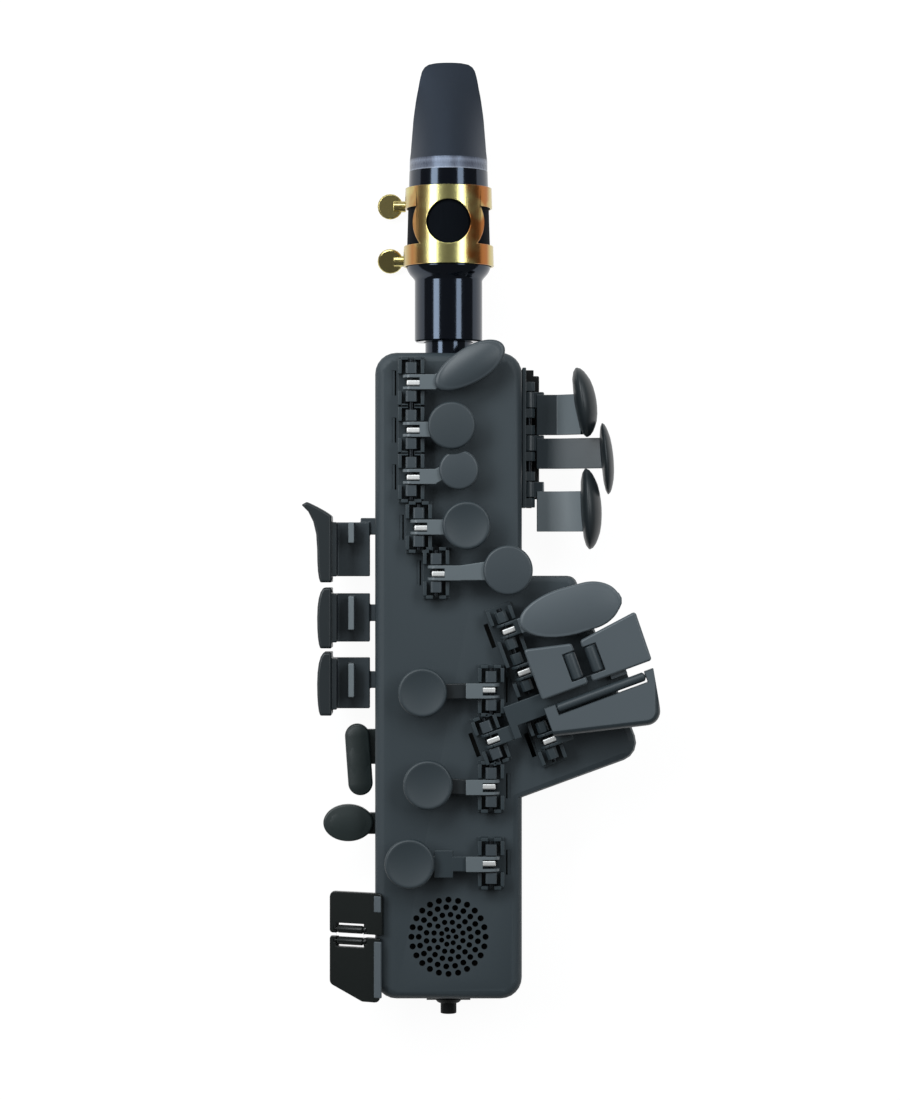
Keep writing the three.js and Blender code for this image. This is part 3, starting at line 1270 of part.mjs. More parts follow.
function bFlatKey() {
  const flat = tablePlate([
    [B_FLAT_LEFT, B_FLAT_FOOT_LEFT, PLATE_CORNER],
    [B_FLAT_RIGHT - B_FLAT_FAR_R, B_FLAT_FOOT_RIGHT, B_FLAT_FAR_R],
    [B_FLAT_RIGHT, B_FLAT_TOP, PLATE_CORNER],
    [B_FLAT_LEFT, B_FLAT_TOP, PLATE_CORNER],
  ]);
  const half = LONG_ROLLER_L / 2 + RUN_GAP;
  const y = B_FLAT_TOP - LONG_ROLLER_R;
  const z = PLATE_TOP + ROLLER_PROUD - LONG_ROLLER_R;
  const notch = slab(
    LONG_ROLLER_X - half,
    LONG_ROLLER_X + half,
    y - LONG_ROLLER_R - RUN_GAP * 2,
    B_FLAT_TOP + OVERRUN,
    PLATE_BOTTOM - OVERRUN,
    PLATE_TOP + OVERRUN,
  );
  const pinReach = LONG_ROLLER_L / 2 + ROLLER_PIN_L + RUN_GAP;
  const pins = roundAlongX(ROLLER_PIN_R + RUN_GAP, LONG_ROLLER_X - pinReach, LONG_ROLLER_X + pinReach, y, z, ROD_SIDES);
  tableKey("key_b_flat", B_FLAT_HUB_Y, riser(B_FLAT_HUB_Y + HUB_HALF), cut(flat, notch, pins));
  const long = roller("roller_b_flat", LONG_ROLLER_R, LONG_ROLLER_L);
  long.position.set(LONG_ROLLER_X, y, z);
  long.rotation.y = radians(90);
}

function leftHandTable() {
  gSharpKey();
  cSharpKey();
  lowBKey();
  bFlatKey();
  const rollerZ = PLATE_TOP + ROLLER_PROUD - ROLLER_R;
  const first = table.getObjectByName("roller_c_sharp");
  const second = roller("roller_low_b", ROLLER_R, ROLLER_L);
  first.position.set(C_SHARP_ROLLER_X, ROLLER_Y, rollerZ);
  second.position.set(LOW_B_ROLLER_X, ROLLER_Y, rollerZ);
  for (const each of [first, second]) each.rotation.x = radians(90);
  const foot = -CRADLE_HALF_L;
  const cradle = join(
    moved(cradleBlock(TABLE_H), 0, G_SHARP_HUB_Y, 0),
    cradleBlock(TABLE_H, B_FLAT_HUB_Y - foot, CRADLE_HALF_L),
    moved(cradleBlock(TABLE_H), 0, B_FLAT_HUB_Y, 0),
  );
  piece("hinge_cradle_table", cradle, MATTE_BODY, table);
  piece("hinge_rod_table", hingeRod([G_SHARP_HUB_Y, 0]), STEEL, table);
  piece("hinge_rod_b_flat", hingeRod([0]), STEEL, table).position.set(0, B_FLAT_HUB_Y, 0);
}

// Palm keys: a bracket on the right wall, and three levers whose pads stand edge-on.
function palmPad(halfY, halfZ, thick) {
  const shell = revolvedGeometry(
    [
      [0, 0],
      [halfY * PAD_FLAT_SHARE, thick * PAD_INNER_SHARE],
      [halfY, thick * PAD_RIM_SHARE],
      [halfY * PAD_SHOULDER_SHARE, thick * PAD_OUTER_SHARE],
      [halfY * PAD_CROWN_SHARE, thick * PAD_CROWN_RISE_SHARE],
      [0, thick],
    ],
    ROUND_SIDES,
  );
  shell.scale(halfZ / halfY, 1, 1);
  shell.rotateY(radians(90));
  return shell;
}

function palmKey(name, hubY, strapY, strapHalf, padX, padY, padHalf, padT, lean) {
  const barrel = roundAlongY(KNUCKLE_R, hubY - PALM_HUB_HALF, hubY + PALM_HUB_HALF, PALM_X, PALM_Z);
  const neck = strap(
    [[PALM_X, PALM_Z], [PALM_STRAP_START + PALM_STRAP_T, PALM_Z + PALM_BEND_RISE / 2]],
    PALM_STRAP_T,
    hubY - PALM_HUB_HALF,
    hubY + PALM_HUB_HALF,
  );
  const padInner = padX + padT * PAD_SEAT_SHARE;
  const strip = strap(
    [
      [PALM_STRAP_START, PALM_Z + PALM_BEND_RISE / 2],
      [PALM_STRAP_START + PALM_BEND_OUT, PALM_Z + PALM_BEND_RISE],
      [padInner, PALM_STRAP_TOP_Z],
    ],
    PALM_STRAP_T,
    strapY - strapHalf,
    strapY + strapHalf,
  );
  const pad = palmPad(padHalf, PALM_PAD_HALF_Z, padT);
  pad.rotateZ(radians(lean));
  pad.translate(padX, padY, PALM_PAD_Z);
  const bore = roundAlongY(ROD_R + RUN_GAP, hubY - PALM_BEND_OUT, hubY + PALM_BEND_OUT, PALM_X, PALM_Z, BORE_SIDES);
  piece(name, cut(join(barrel, neck, strip, solid(pad)), bore), KEY_GREY);
}

function palmKeys() {
  palmKey(
    "palm_key_1",
    PALM_1_HUB_Y,
    PALM_1_STRAP_Y,
    PALM_STRAP_HALF,
    PALM_1_PAD_X,
    PALM_1_PAD_Y,
    PALM_1_PAD_HALF,
    PALM_1_PAD_T,
    PALM_1_LEAN,
  );
  palmKey(
    "palm_key_2",
    PALM_2_HUB_Y,
    PALM_2_STRAP_Y,
    PALM_2_STRAP_HALF,
    PALM_2_PAD_X,
    PALM_2_PAD_Y,
    PALM_2_PAD_HALF,
    PALM_2_PAD_T,
    PALM_2_LEAN,
  );
  palmKey(
    "palm_key_3",
    PALM_3_HUB_Y,
    PALM_3_STRAP_Y,
    PALM_STRAP_HALF,
    PALM_3_PAD_X,
    PALM_3_PAD_Y,
    PALM_3_PAD_HALF,
    PALM_3_PAD_T,
    PALM_3_LEAN,
  );
  const wall = CORE_HALF_W + SEAT_GAP;
  const face = wall + PALM_BRACKET_T;
  const parts = [
    slab(wall, face, PALM_BRACKET_FOOT, PALM_BRACKET_TOP, PALM_BRACKET_Z0, PALM_BRACKET_Z1),
  ];
  const windows = [];
  const near = PALM_HUB_HALF + RUN_GAP;
  for (const hubY of [PALM_1_HUB_Y, PALM_2_HUB_Y, PALM_3_HUB_Y]) {
    for (const y0 of [hubY + near, hubY - near - PALM_KNUCKLE_L]) {
      const block = knuckleGeometry(y0, y0 + PALM_KNUCKLE_L, wall - PALM_X);
      block.rotateY(radians(90));
      block.translate(PALM_X, 0, PALM_Z);
      parts.push(solid(block));
    }
    const reach = KNUCKLE_R + SEAT_GAP;
    windows.push(slab(wall - OVERRUN, face + OVERRUN, hubY - near, hubY + near, PALM_Z - OVERRUN, PALM_Z + reach));
  }
  const bore = roundAlongY(
    ROD_R + RUN_GAP,
    PALM_BRACKET_FOOT - OVERRUN,
    PALM_BRACKET_TOP + OVERRUN,
    PALM_X,
    PALM_Z,
    BORE_SIDES,
  );
  piece("palm_key_bracket", cut(join(...parts), bore, ...windows), MATTE_BODY);
  const rodTop = PALM_1_HUB_Y + PALM_HUB_HALF + KNUCKLE_L;
  const rodFoot = PALM_3_HUB_Y - PALM_HUB_HALF - KNUCKLE_L;
  piece("hinge_rod_palm", roundAlongY(ROD_R, rodFoot, rodTop, PALM_X, PALM_Z, BORE_SIDES), STEEL);
}

// Keys of the left side turn on one long rod inside the wall.
function sideBarrel(y, half) {
  const barrel = roundAlongY(SIDE_BARREL_R, y - half, y + half, SIDE_ROD_X, SIDE_ROD_Z);
  return barrel;
}

function sideBore(y, half) {
  return roundAlongY(SIDE_ROD_R + RUN_GAP, y - half - OVERRUN, y + half + OVERRUN, SIDE_ROD_X, SIDE_ROD_Z, BORE_SIDES);
}

function sideNeck(y, half, outX) {
  return slab(outX, SIDE_ROD_X, y - half, y + half, SIDE_ROD_Z - SIDE_ARM_T / 2, SIDE_ROD_Z + SIDE_ARM_T / 2);
}

// The touch of a side key: convex outside, flat inside, with a ledge behind it. A hook curls out at its top.
function sideTouchOutline(top, foot, hook) {
  const middle = (top + foot) / 2;
  const outline = new THREE.Shape();
  outline.moveTo(SIDE_TOUCH_IN, foot);
  outline.lineTo(SIDE_TOUCH_IN, top);
  if (hook) {
    outline.quadraticCurveTo(SIDE_TOUCH_IN - SIDE_LEDGE, top + SIDE_LEDGE, SIDE_1_HOOK_X + SIDE_LEDGE, SIDE_1_HOOK_Y + SIDE_HOOK_ROUND);
    outline.lineTo(SIDE_1_HOOK_X, SIDE_1_HOOK_Y - SIDE_HOOK_ROUND);
    outline.quadraticCurveTo(SIDE_TOUCH_OUT, top, SIDE_TOUCH_OUT, middle);
  } else {
    outline.lineTo(SIDE_TOUCH_OUT + SIDE_TOUCH_SHOULDER * 2, top);
    outline.quadraticCurveTo(SIDE_TOUCH_OUT, top - SIDE_TOUCH_SHOULDER * 2, SIDE_TOUCH_OUT, middle);
  }
  outline.quadraticCurveTo(
    SIDE_TOUCH_OUT,
    foot + SIDE_TOUCH_SHOULDER * 2,
    SIDE_TOUCH_OUT + SIDE_TOUCH_SHOULDER,
    foot,
  );
  outline.closePath();
  return outline;
}

function sideKey(name, top, foot, neckY, hook = false) {
  const blade = plate(
    sideTouchOutline(top, foot, hook),
    SIDE_TOUCH_BACK,
    SIDE_TOUCH_FRONT,
    SIDE_TOUCH_SHOULDER / 2,
    1,
    4,
  );
  const blockTop = top - SIDE_BLOCK_INSET;
  const blockFoot = foot + SIDE_BLOCK_INSET;
  const z0 = SIDE_ROD_Z - SIDE_ARM_T / 2;
  const ledge = slab(
    SIDE_TOUCH_IN - SIDE_TOUCH_SHOULDER,
    SIDE_TOUCH_IN + SIDE_LEDGE,
    blockFoot,
    blockTop,
    SIDE_TOUCH_BACK + SIDE_TOUCH_SHOULDER,
    SIDE_TOUCH_FRONT - SIDE_TOUCH_SHOULDER,
  );
  const block = slab(SIDE_TOUCH_IN, SIDE_BLOCK_IN, blockFoot, blockTop, z0, z0 + SIDE_BLOCK_T);
  const ribTop = neckY + SIDE_NECK_HALF * 2;
  const rib = slab(
    SIDE_RIB_X,
    SIDE_RIB_X + SIDE_RIB_W,
    neckY - SIDE_NECK_HALF * 2,
    Math.min(ribTop, blockTop),
    z0,
    z0 + SIDE_BLOCK_T + SIDE_RIB_RISE,
  );
  const neck = sideNeck(neckY, SIDE_NECK_HALF, SIDE_BLOCK_IN - OVERRUN);
  const shape = join(blade, ledge, block, rib, neck, sideBarrel(neckY, SIDE_NECK_HALF));
  piece(name, cut(shape, sideBore(neckY, SIDE_NECK_HALF)), KEY_GREY);
}

function sideOval(name, x, y, halfX, halfY, turn, neckY, neckHalf) {
  const bottom = SIDE_ROD_Z + OVAL_BOTTOM;
  const oval = touch(x, y, halfX, halfY, -TOUCH_CROWN * 2, turn, bottom, OVAL_T);
  const neck = sideNeck(neckY, neckHalf, x);
  const shape = join(oval, neck, sideBarrel(neckY, neckHalf));
  piece(name, cut(shape, sideBore(neckY, neckHalf)), KEY_GREY);
}

// A little-finger key: a sloped plate whose upper end reaches over the body's edge.
function pinkyKey(name, outline, armY, notch) {
  const top = BODY_L;
  const sheet = strap(
    [
      [PINKY_OUT_X - OVERRUN, PINKY_OUT_Z - OVERRUN * PINKY_SLOPE_SHARE],
      [PINKY_OUT_X, PINKY_OUT_Z],
      [PINKY_KNEE_X, PINKY_KNEE_Z],
      [PINKY_LIP_X, PINKY_LIP_Z],
    ],
    PINKY_T,
    -top,
    top,
  );
  const blank = sheet.intersect(plate(outline, 0, FRONT_Z + HINGE_H + OVERRUN));
  const neck = sideNeck(armY, PINKY_ARM_HALF, PINKY_KNEE_X - PINKY_T);
  const post = slab(
    PINKY_KNEE_X - PINKY_T,
    PINKY_KNEE_X - SEAT_GAP,
    armY - PINKY_ARM_HALF,
    armY + PINKY_ARM_HALF,
    SIDE_ROD_Z - SIDE_ARM_T / 2,
    PINKY_KNEE_Z - PINKY_T / 2,
  );
  const shape = join(cut(blank, notch), neck, post, sideBarrel(armY, PINKY_ARM_HALF));
  piece(name, cut(shape, sideBore(armY, PINKY_ARM_HALF)), KEY_GREY);
}

const PINKY_RISE = PINKY_KNEE_Z - PINKY_OUT_Z;
const PINKY_RUN = PINKY_KNEE_X - PINKY_OUT_X;
const PINKY_SLOPE_SHARE = PINKY_RISE / PINKY_RUN;

// Roller, notch and pin holes on the sloped plate, in a frame that lies on the slope with X up it.
function pinkyRollerFrame(geometry, y) {
  const z = PINKY_OUT_Z + (PINKY_ROLLER_MID_X - PINKY_OUT_X) * PINKY_SLOPE_SHARE;
  geometry.rotateY(-Math.atan(PINKY_SLOPE_SHARE));
  geometry.translate(PINKY_ROLLER_MID_X, y, z + PINKY_T / 4);
  return geometry;
}

function pinkyNotch(y, side) {
  const half = PINKY_ROLLER_L / 2 + RUN_GAP;
  const inside = PINKY_ROLLER_R + RUN_GAP * 2;
  const outside = PINKY_ROLLER_IN + OVERRUN;
  const box = new THREE.BoxGeometry(half * 2, inside + outside, PINKY_T * 4);
  box.translate(0, (side * (outside - inside)) / 2, 0);
  const pins = new THREE.CylinderGeometry(
    ROLLER_PIN_R + RUN_GAP,
    ROLLER_PIN_R + RUN_GAP,
    (half + ROLLER_PIN_L) * 2,
    ROD_SIDES,
  );
  pins.rotateZ(radians(90));
  return join(solid(pinkyRollerFrame(box, y)), solid(pinkyRollerFrame(pins, y)));
}

function pinkyRoller(name, y) {
  const turned = rollerGeometry(PINKY_ROLLER_R, PINKY_ROLLER_L, ROLLER_PIN_R, ROLLER_PIN_L);
  turned.rotateY(radians(90));
  piece(name, solid(pinkyRollerFrame(turned, y)), KEY_GREY);
}

function pinkyKeys() {
  const right = PINKY_LIP_X;
  const eFlat = roundedOutline([
    [PINKY_OUT_X, E_FLAT_FOOT, PINKY_CORNER / 2],
    [right, E_FLAT_FOOT, 0],
    [right, E_FLAT_TOP, PINKY_CORNER],
    [PINKY_OUT_X, E_FLAT_TOP, PINKY_CORNER],
  ]);
  const lowC = roundedOutline([
    [PINKY_OUT_X, LOW_C_FOOT + LOW_C_SLANT, PINKY_CORNER],
    [PINKY_OUT_X + LOW_C_SLANT_X, LOW_C_FOOT, PINKY_CORNER],
    [right - PINKY_TILT, LOW_C_FOOT, PINKY_CORNER],
    [right - PINKY_TILT, LOW_C_TOP, 0],
    [PINKY_OUT_X, LOW_C_TOP, PINKY_CORNER / 2],
  ]);
  const upperRollerY = E_FLAT_FOOT + PINKY_ROLLER_IN;
  const lowerRollerY = LOW_C_TOP - PINKY_ROLLER_IN;
  pinkyKey("key_e_flat", eFlat, E_FLAT_ARM_Y, pinkyNotch(upperRollerY, -1));
  pinkyKey("key_low_c", lowC, LOW_C_ARM_Y, pinkyNotch(lowerRollerY, 1));
  pinkyRoller("roller_e_flat", upperRollerY);
  pinkyRoller("roller_low_c", lowerRollerY);
}

function leftSide() {
  sideKey("side_key_1", SIDE_1_TOP, SIDE_1_FOOT, SIDE_1_NECK, true);
  sideKey("side_key_2", SIDE_2_TOP, SIDE_2_FOOT, SIDE_2_NECK);
  sideKey("side_key_3", SIDE_3_TOP, SIDE_3_FOOT, SIDE_3_NECK);
  sideOval(
    "key_high_f_sharp",
    F_SHARP_X,
    F_SHARP_Y,
    F_SHARP_HALF_X,
    F_SHARP_HALF_Y,
    F_SHARP_TURN,
    F_SHARP_NECK_Y,
    F_SHARP_NECK_HALF,
  );
  sideOval(
    "key_side_oval",
    LOW_OVAL_X,
    LOW_OVAL_Y,
    LOW_OVAL_HALF_X,
    LOW_OVAL_HALF_Y,
    0,
    LOW_OVAL_NECK_Y,
    LOW_OVAL_NECK_HALF,
  );
  pinkyKeys();
  piece("side_key_rod", roundAlongY(SIDE_ROD_R, SIDE_ROD_FOOT, SIDE_ROD_TOP, SIDE_ROD_X, SIDE_ROD_Z, BORE_SIDES), STEEL);
}

// Mouthpiece: a round shank and barrel, then a beak that slopes to a thin tip over a flat table.
function mouthpieceRing(y, halfX, top, tableZ, widest) {
  const ring = [];
  for (let i = 0; i < MOUTH_SIDES; i += 1) {
    const angle = (2 * Math.PI * i) / MOUTH_SIDES;
    const rise = Math.sin(angle);
    const z = rise > 0 ? widest + (top - widest) * rise : Math.max(tableZ, widest + halfX * rise);
    ring.push(new THREE.Vector3(-halfX * Math.cos(angle), y, z));
  }
  return ring;
}

function beakRing(y, halfX) {
  const along = (y - BEAK_FOOT) / (TIP_Y - BEAK_FOOT);
  const tipTop = TIP_T - TABLE_DEPTH;
  const top = BARREL_TOP_R + (tipTop - BARREL_TOP_R) * along;
  const widest = Math.min(0, -TABLE_DEPTH + (top + TABLE_DEPTH) * BEAK_WAIST_SHARE);
  return mouthpieceRing(y, halfX, top, -TABLE_DEPTH, widest);
}

function mouthpiece() {
  const round = (y, r, depth = r) => mouthpieceRing(y, r, r, -depth, 0);
  const rings = [
    round(0, SHANK_R - ROLLER_EDGE),
    round(ROLLER_EDGE, SHANK_R),
    round(SHANK_TOP, SHANK_R, TABLE_DEPTH),
    round(SHANK_TOP + ROLLER_EDGE, SHANK_R + (FLARE_R - SHANK_R) / 2, TABLE_DEPTH),
    round(FLARE_Y, FLARE_R, TABLE_DEPTH),
    round(LIGATURE_TOP, BARREL_TOP_R + (FLARE_R - BARREL_TOP_R) * BARREL_TAPER_SHARE, TABLE_DEPTH),
    beakRing(BEAK_FOOT, BARREL_TOP_R),
    beakRing((BEAK_FOOT + BEAK_MID) / 2, (BARREL_TOP_R + BEAK_MID_HALF) / 2 + ROLLER_EDGE / 2),
    beakRing(BEAK_MID, BEAK_MID_HALF),
    beakRing(TIP_SHOULDER, TIP_SHOULDER_HALF),
    beakRing((TIP_SHOULDER + TIP_Y) / 2, TIP_SHOULDER_HALF * TIP_ROUND_SHARE),
    beakRing(TIP_Y, TIP_SHOULDER_HALF * TIP_FLAT_SHARE),
  ];
  const blank = loft(rings);
  const bore = roundAlongY(NECK_R + SEAT_GAP + RUN_GAP / 2, -OVERRUN, MOUTH_BORE_TOP, 0, 0, ROUND_SIDES);
  const throat = roundAlongY(THROAT_R, 0, THROAT_TOP, 0, 0, STEM_SIDES);
  const windowTop = WINDOW_RISE - TABLE_DEPTH;
  const window = strapWindow(windowTop);
  return cut(blank, bore, throat, window);
}

// The window under the reed: a wedge that opens to the throat and closes towards the tip.
function strapWindow(top) {
  const low = -TABLE_DEPTH - OVERRUN;
  const side = new THREE.Shape([
    new THREE.Vector2(WINDOW_FOOT, low),
    new THREE.Vector2(WINDOW_TOP, low),
    new THREE.Vector2(WINDOW_TOP, -TABLE_DEPTH),
    new THREE.Vector2(WINDOW_FOOT, top),
  ]);
  const wedge = new THREE.ExtrudeGeometry(side, { depth: WINDOW_HALF * 2, bevelEnabled: false });
  wedge.rotateX(radians(90));
  wedge.rotateZ(radians(90));
  wedge.translate(-WINDOW_HALF, 0, 0);
  return solid(wedge);
}

function reed() {
  const top = -TABLE_DEPTH - SEAT_GAP;
  const back = roundAlongY(REED_BACK_R, REED_FOOT, REED_TIP, 0, 0, SLEEVE_SIDES);
  const blank = back.intersect(slab(-REED_HALF, REED_HALF, REED_FOOT, REED_TIP, -REED_BACK_R - OVERRUN, top));
  const low = -REED_BACK_R - OVERRUN;
  const side = new THREE.Shape([
    new THREE.Vector2(REED_VAMP, low),
    new THREE.Vector2(REED_TIP + OVERRUN, low),
    new THREE.Vector2(REED_TIP + OVERRUN, top - REED_TIP_T),
    new THREE.Vector2(REED_VAMP, -REED_BACK_R),
  ]);
  const wedge = new THREE.ExtrudeGeometry(side, { depth: REED_HALF * 4, bevelEnabled: false });
  wedge.rotateX(radians(90));
  wedge.rotateZ(radians(90));
  wedge.translate(-REED_HALF * 2, 0, 0);
  return cut(blank, solid(wedge));
}

// Ligature: a tapering brass sleeve cut open at its sides, with a round window in front and ears behind.
function ligature() {
  const innerFoot = FLARE_R + SEAT_GAP;
  const innerTop = BARREL_TOP_R + (FLARE_R - BARREL_TOP_R) * BARREL_TAPER_SHARE + SEAT_GAP;
  const sleeveGeometry = revolvedGeometry(
    [
      [innerFoot, 0],
      [innerFoot + LIGATURE_T, 0],
      [innerTop + LIGATURE_T, LIGATURE_TOP - LIGATURE_FOOT],
      [innerTop, LIGATURE_TOP - LIGATURE_FOOT],
      [innerFoot, 0],
    ],
    SLEEVE_SIDES,
  );
  sleeveGeometry.rotateX(radians(-90));
  sleeveGeometry.translate(0, LIGATURE_FOOT, 0);
  const sleeve = solid(sleeveGeometry);
  const reach = innerFoot + LIGATURE_T + OVERRUN;
  const ring = roundAlongZ(LIGATURE_RING_R, LIGATURE_SIDE_BACK, reach, 0, LIGATURE_WINDOW_Y, ROUND_SIDES);
  const sides = cut(
    slab(-reach, reach, LIGATURE_FOOT + LIGATURE_BAND, LIGATURE_TOP - LIGATURE_BAND, LIGATURE_SIDE_BACK, reach),
    ring,
  );
  const window = roundAlongZ(LIGATURE_WINDOW_R, 0, reach, 0, LIGATURE_WINDOW_Y, CONE_SIDES);
  const slit = slab(-LIGATURE_SLIT_HALF, LIGATURE_SLIT_HALF, LIGATURE_FOOT - OVERRUN, LIGATURE_TOP + OVERRUN, -reach, 0);
  const earOut = LIGATURE_SLIT_HALF + LIGATURE_EAR_T;
  const ears = [];
  for (const y of [SCREW_UPPER_Y, SCREW_LOWER_Y]) {
    const half = LIGATURE_BAND / 2;
    for (const [x0, x1] of [[LIGATURE_SLIT_HALF, earOut], [-earOut, -LIGATURE_SLIT_HALF]]) {
      ears.push(slab(x0, x1, y - half, y + half, -SCREW_DROP - LIGATURE_EAR_REACH, -innerTop - SEAT_GAP));
    }
  }
  const holes = [SCREW_UPPER_Y, SCREW_LOWER_Y].map((y) =>
    roundAlongX(SCREW_R + RUN_GAP, -earOut - OVERRUN, earOut + OVERRUN, y, -SCREW_DROP, BORE_SIDES),
  );
  return cut(join(cut(sleeve, sides, window, slit), ...ears), ...holes);
}

// A thumb screw with a flat round head, on its own axis along X.
function ligatureScrew() {
  const collarEnd = SCREW_HEAD_X + SCREW_HEAD_R - SCREW_HEAD_T;
  const shaft = roundAlongX(SCREW_R, collarEnd, SCREW_END_X, 0, 0, BORE_SIDES);
  const collar = roundAlongX(SCREW_COLLAR_R, collarEnd - SCREW_HEAD_T, collarEnd + SCREW_COLLAR_L, 0, 0, PIN_SIDES);
  const headGeometry = plateGeometry(
    new THREE.Shape().absarc(0, 0, SCREW_HEAD_R, 0, 2 * Math.PI),
    -SCREW_HEAD_T / 2,
    SCREW_HEAD_T / 2,
    SCREW_HEAD_T / 4,
    1,
    BORE_SIDES,
  );
  headGeometry.translate(SCREW_HEAD_X, 0, 0);
  return join(shaft, collar, solid(headGeometry));
}

function neckTenon() {
  const inside = CORE_HALF_L - WALL - SEAT_GAP;
  const tube = roundAlongY(NECK_R, inside - NECK_INSIDE, NECK_TOP, 0, 0, ROUND_SIDES);
  const flangeHalf = FRONT_Z - WALL - SEAT_GAP - MOUTH_Z;
  const flange = slab(
    -NECK_FLANGE_HALF,
    NECK_FLANGE_HALF,
    inside - NECK_FLANGE_T,
    inside,
    -flangeHalf,
    flangeHalf,
  );
  const bore = roundAlongY(NECK_BORE_R, inside - NECK_INSIDE - OVERRUN, NECK_TOP + OVERRUN, 0, 0, STEM_SIDES);
  return cut(join(tube, flange), bore);
}

function mouthEnd() {
  piece("neck_tenon", neckTenon(), RUBBER_BLACK).position.z = MOUTH_Z;
  piece("mouthpiece", mouthpiece(), GLOSS_BLACK).position.set(0, SHANK_Y, MOUTH_Z);
  piece("reed", reed(), CANE).position.set(0, SHANK_Y, MOUTH_Z);
  piece("ligature", ligature(), BRASS).position.set(0, SHANK_Y, MOUTH_Z);
  const upper = piece("ligature_screw_upper", ligatureScrew(), BRASS);
  const lower = piece("ligature_screw_lower", ligatureScrew(), BRASS);
  upper.position.set(0, SHANK_Y + SCREW_UPPER_Y, MOUTH_Z - SCREW_DROP);
  lower.position.set(0, SHANK_Y + SCREW_LOWER_Y, MOUTH_Z - SCREW_DROP);
  lower.rotation.x = radians(SCREW_LOWER_TURN);
}

function powerButton() {
  const face = -CORE_HALF_L - BUTTON_COLLAR_H;
  const stem = roundAlongY(BUTTON_R, face - BUTTON_OUT, -CORE_HALF_L + BUTTON_IN, 0, BUTTON_Z, STEM_SIDES);
  const flangeTop = -CORE_HALF_L + WALL + SEAT_GAP + BUTTON_FLANGE_T;
  const flange = roundAlongY(BUTTON_FLANGE_R, flangeTop - BUTTON_FLANGE_T, flangeTop, 0, BUTTON_Z, STEM_SIDES);
  piece("power_button", join(stem, flange), RUBBER_BLACK);
}

function insides() {
  const boardTop = FRONT_Z - WALL - BOARD_DROP;
  const outline = roundedBox(
    BOARD_HALF_W,
    (BOARD_TOP - BOARD_FOOT) / 2,
    BOARD_BOSS_R,
    0,
    (BOARD_TOP + BOARD_FOOT) / 2,
  );
  piece("circuit_board", plate(outline, boardTop - BOARD_T, boardTop), BOARD_GREEN);
  const shelf = THUMB_D + WALL + SEAT_GAP;
  const cell = roundedBox(BATTERY_W / 2, BATTERY_L / 2, BOARD_BOSS_R, BATTERY_X, BATTERY_Y);
  piece("battery", plate(cell, shelf, shelf + BATTERY_T, BOARD_T / 2), CELL_GREY);
  const rim = FRONT_Z - WALL - SEAT_GAP;
  const coneEnd = rim - SPEAKER_RIM_T - SPEAKER_CONE_T;
  const driver = revolvedGeometry(
    [
      [0, coneEnd - SPEAKER_MAGNET_T],
      [SPEAKER_MAGNET_R, coneEnd - SPEAKER_MAGNET_T],
      [SPEAKER_MAGNET_R, coneEnd],
      [SPEAKER_R - SPEAKER_RIM_T, rim - SPEAKER_RIM_T],
      [SPEAKER_R, rim - SPEAKER_RIM_T],
      [SPEAKER_R, rim],
      [SPEAKER_R - SPEAKER_RIM_T, rim],
      [SPEAKER_MAGNET_R / 2, rim - SPEAKER_CONE_T],
      [0, rim - SPEAKER_CONE_T / 2],
    ],
    CONE_SIDES,
  );
  driver.translate(0, GRILLE_Y, 0);
  piece("speaker_driver", solid(driver), CONE_BLACK);
}

function octaveKey() {
  const barrel = roundAlongX(
    OCTAVE_BARREL_R,
    -OCTAVE_LEVER_HALF,
    OCTAVE_LEVER_HALF,
    OCTAVE_ROD_Y,
    OCTAVE_ROD_Z,
    PIN_SIDES,
  );
  const foot = OCTAVE_Y - OCTAVE_POCKET_HALF_Y + RUN_GAP * 3;
  const outline = roundedOutline([
    [-OCTAVE_LEVER_HALF, foot, OCTAVE_LEVER_CORNER],
    [OCTAVE_LEVER_HALF, foot, OCTAVE_LEVER_CORNER],
    [OCTAVE_LEVER_HALF, OCTAVE_ROD_Y, 0],
    [-OCTAVE_LEVER_HALF, OCTAVE_ROD_Y, 0],
  ]);
  const blade = plate(outline, SEAT_GAP, SEAT_GAP + OCTAVE_LEVER_T);
  const reach = OCTAVE_LEVER_HALF + OVERRUN;
  const bore = roundAlongX(OCTAVE_ROD_R + RUN_GAP / 2, -reach, reach, OCTAVE_ROD_Y, OCTAVE_ROD_Z, BORE_SIDES);
  piece("octave_key", cut(join(blade, barrel), bore), KEY_GREY);
  const end = OCTAVE_POCKET_HALF_X + WALL / 2;
  piece("octave_rod", roundAlongX(OCTAVE_ROD_R, -end, end, OCTAVE_ROD_Y, OCTAVE_ROD_Z, ROD_SIDES), STEEL);
}

piece("front_housing", frontHousing(), MATTE_BODY);
piece("rear_cover", rearCover(), MATTE_BODY);
upperStack();
lowerStack();
leftHandTable();
palmKeys();
leftSide();
mouthEnd();
powerButton();
insides();
octaveKey();

export default controller;
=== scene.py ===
# Looks of a saxophone-style digital wind controller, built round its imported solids.
import json
import math

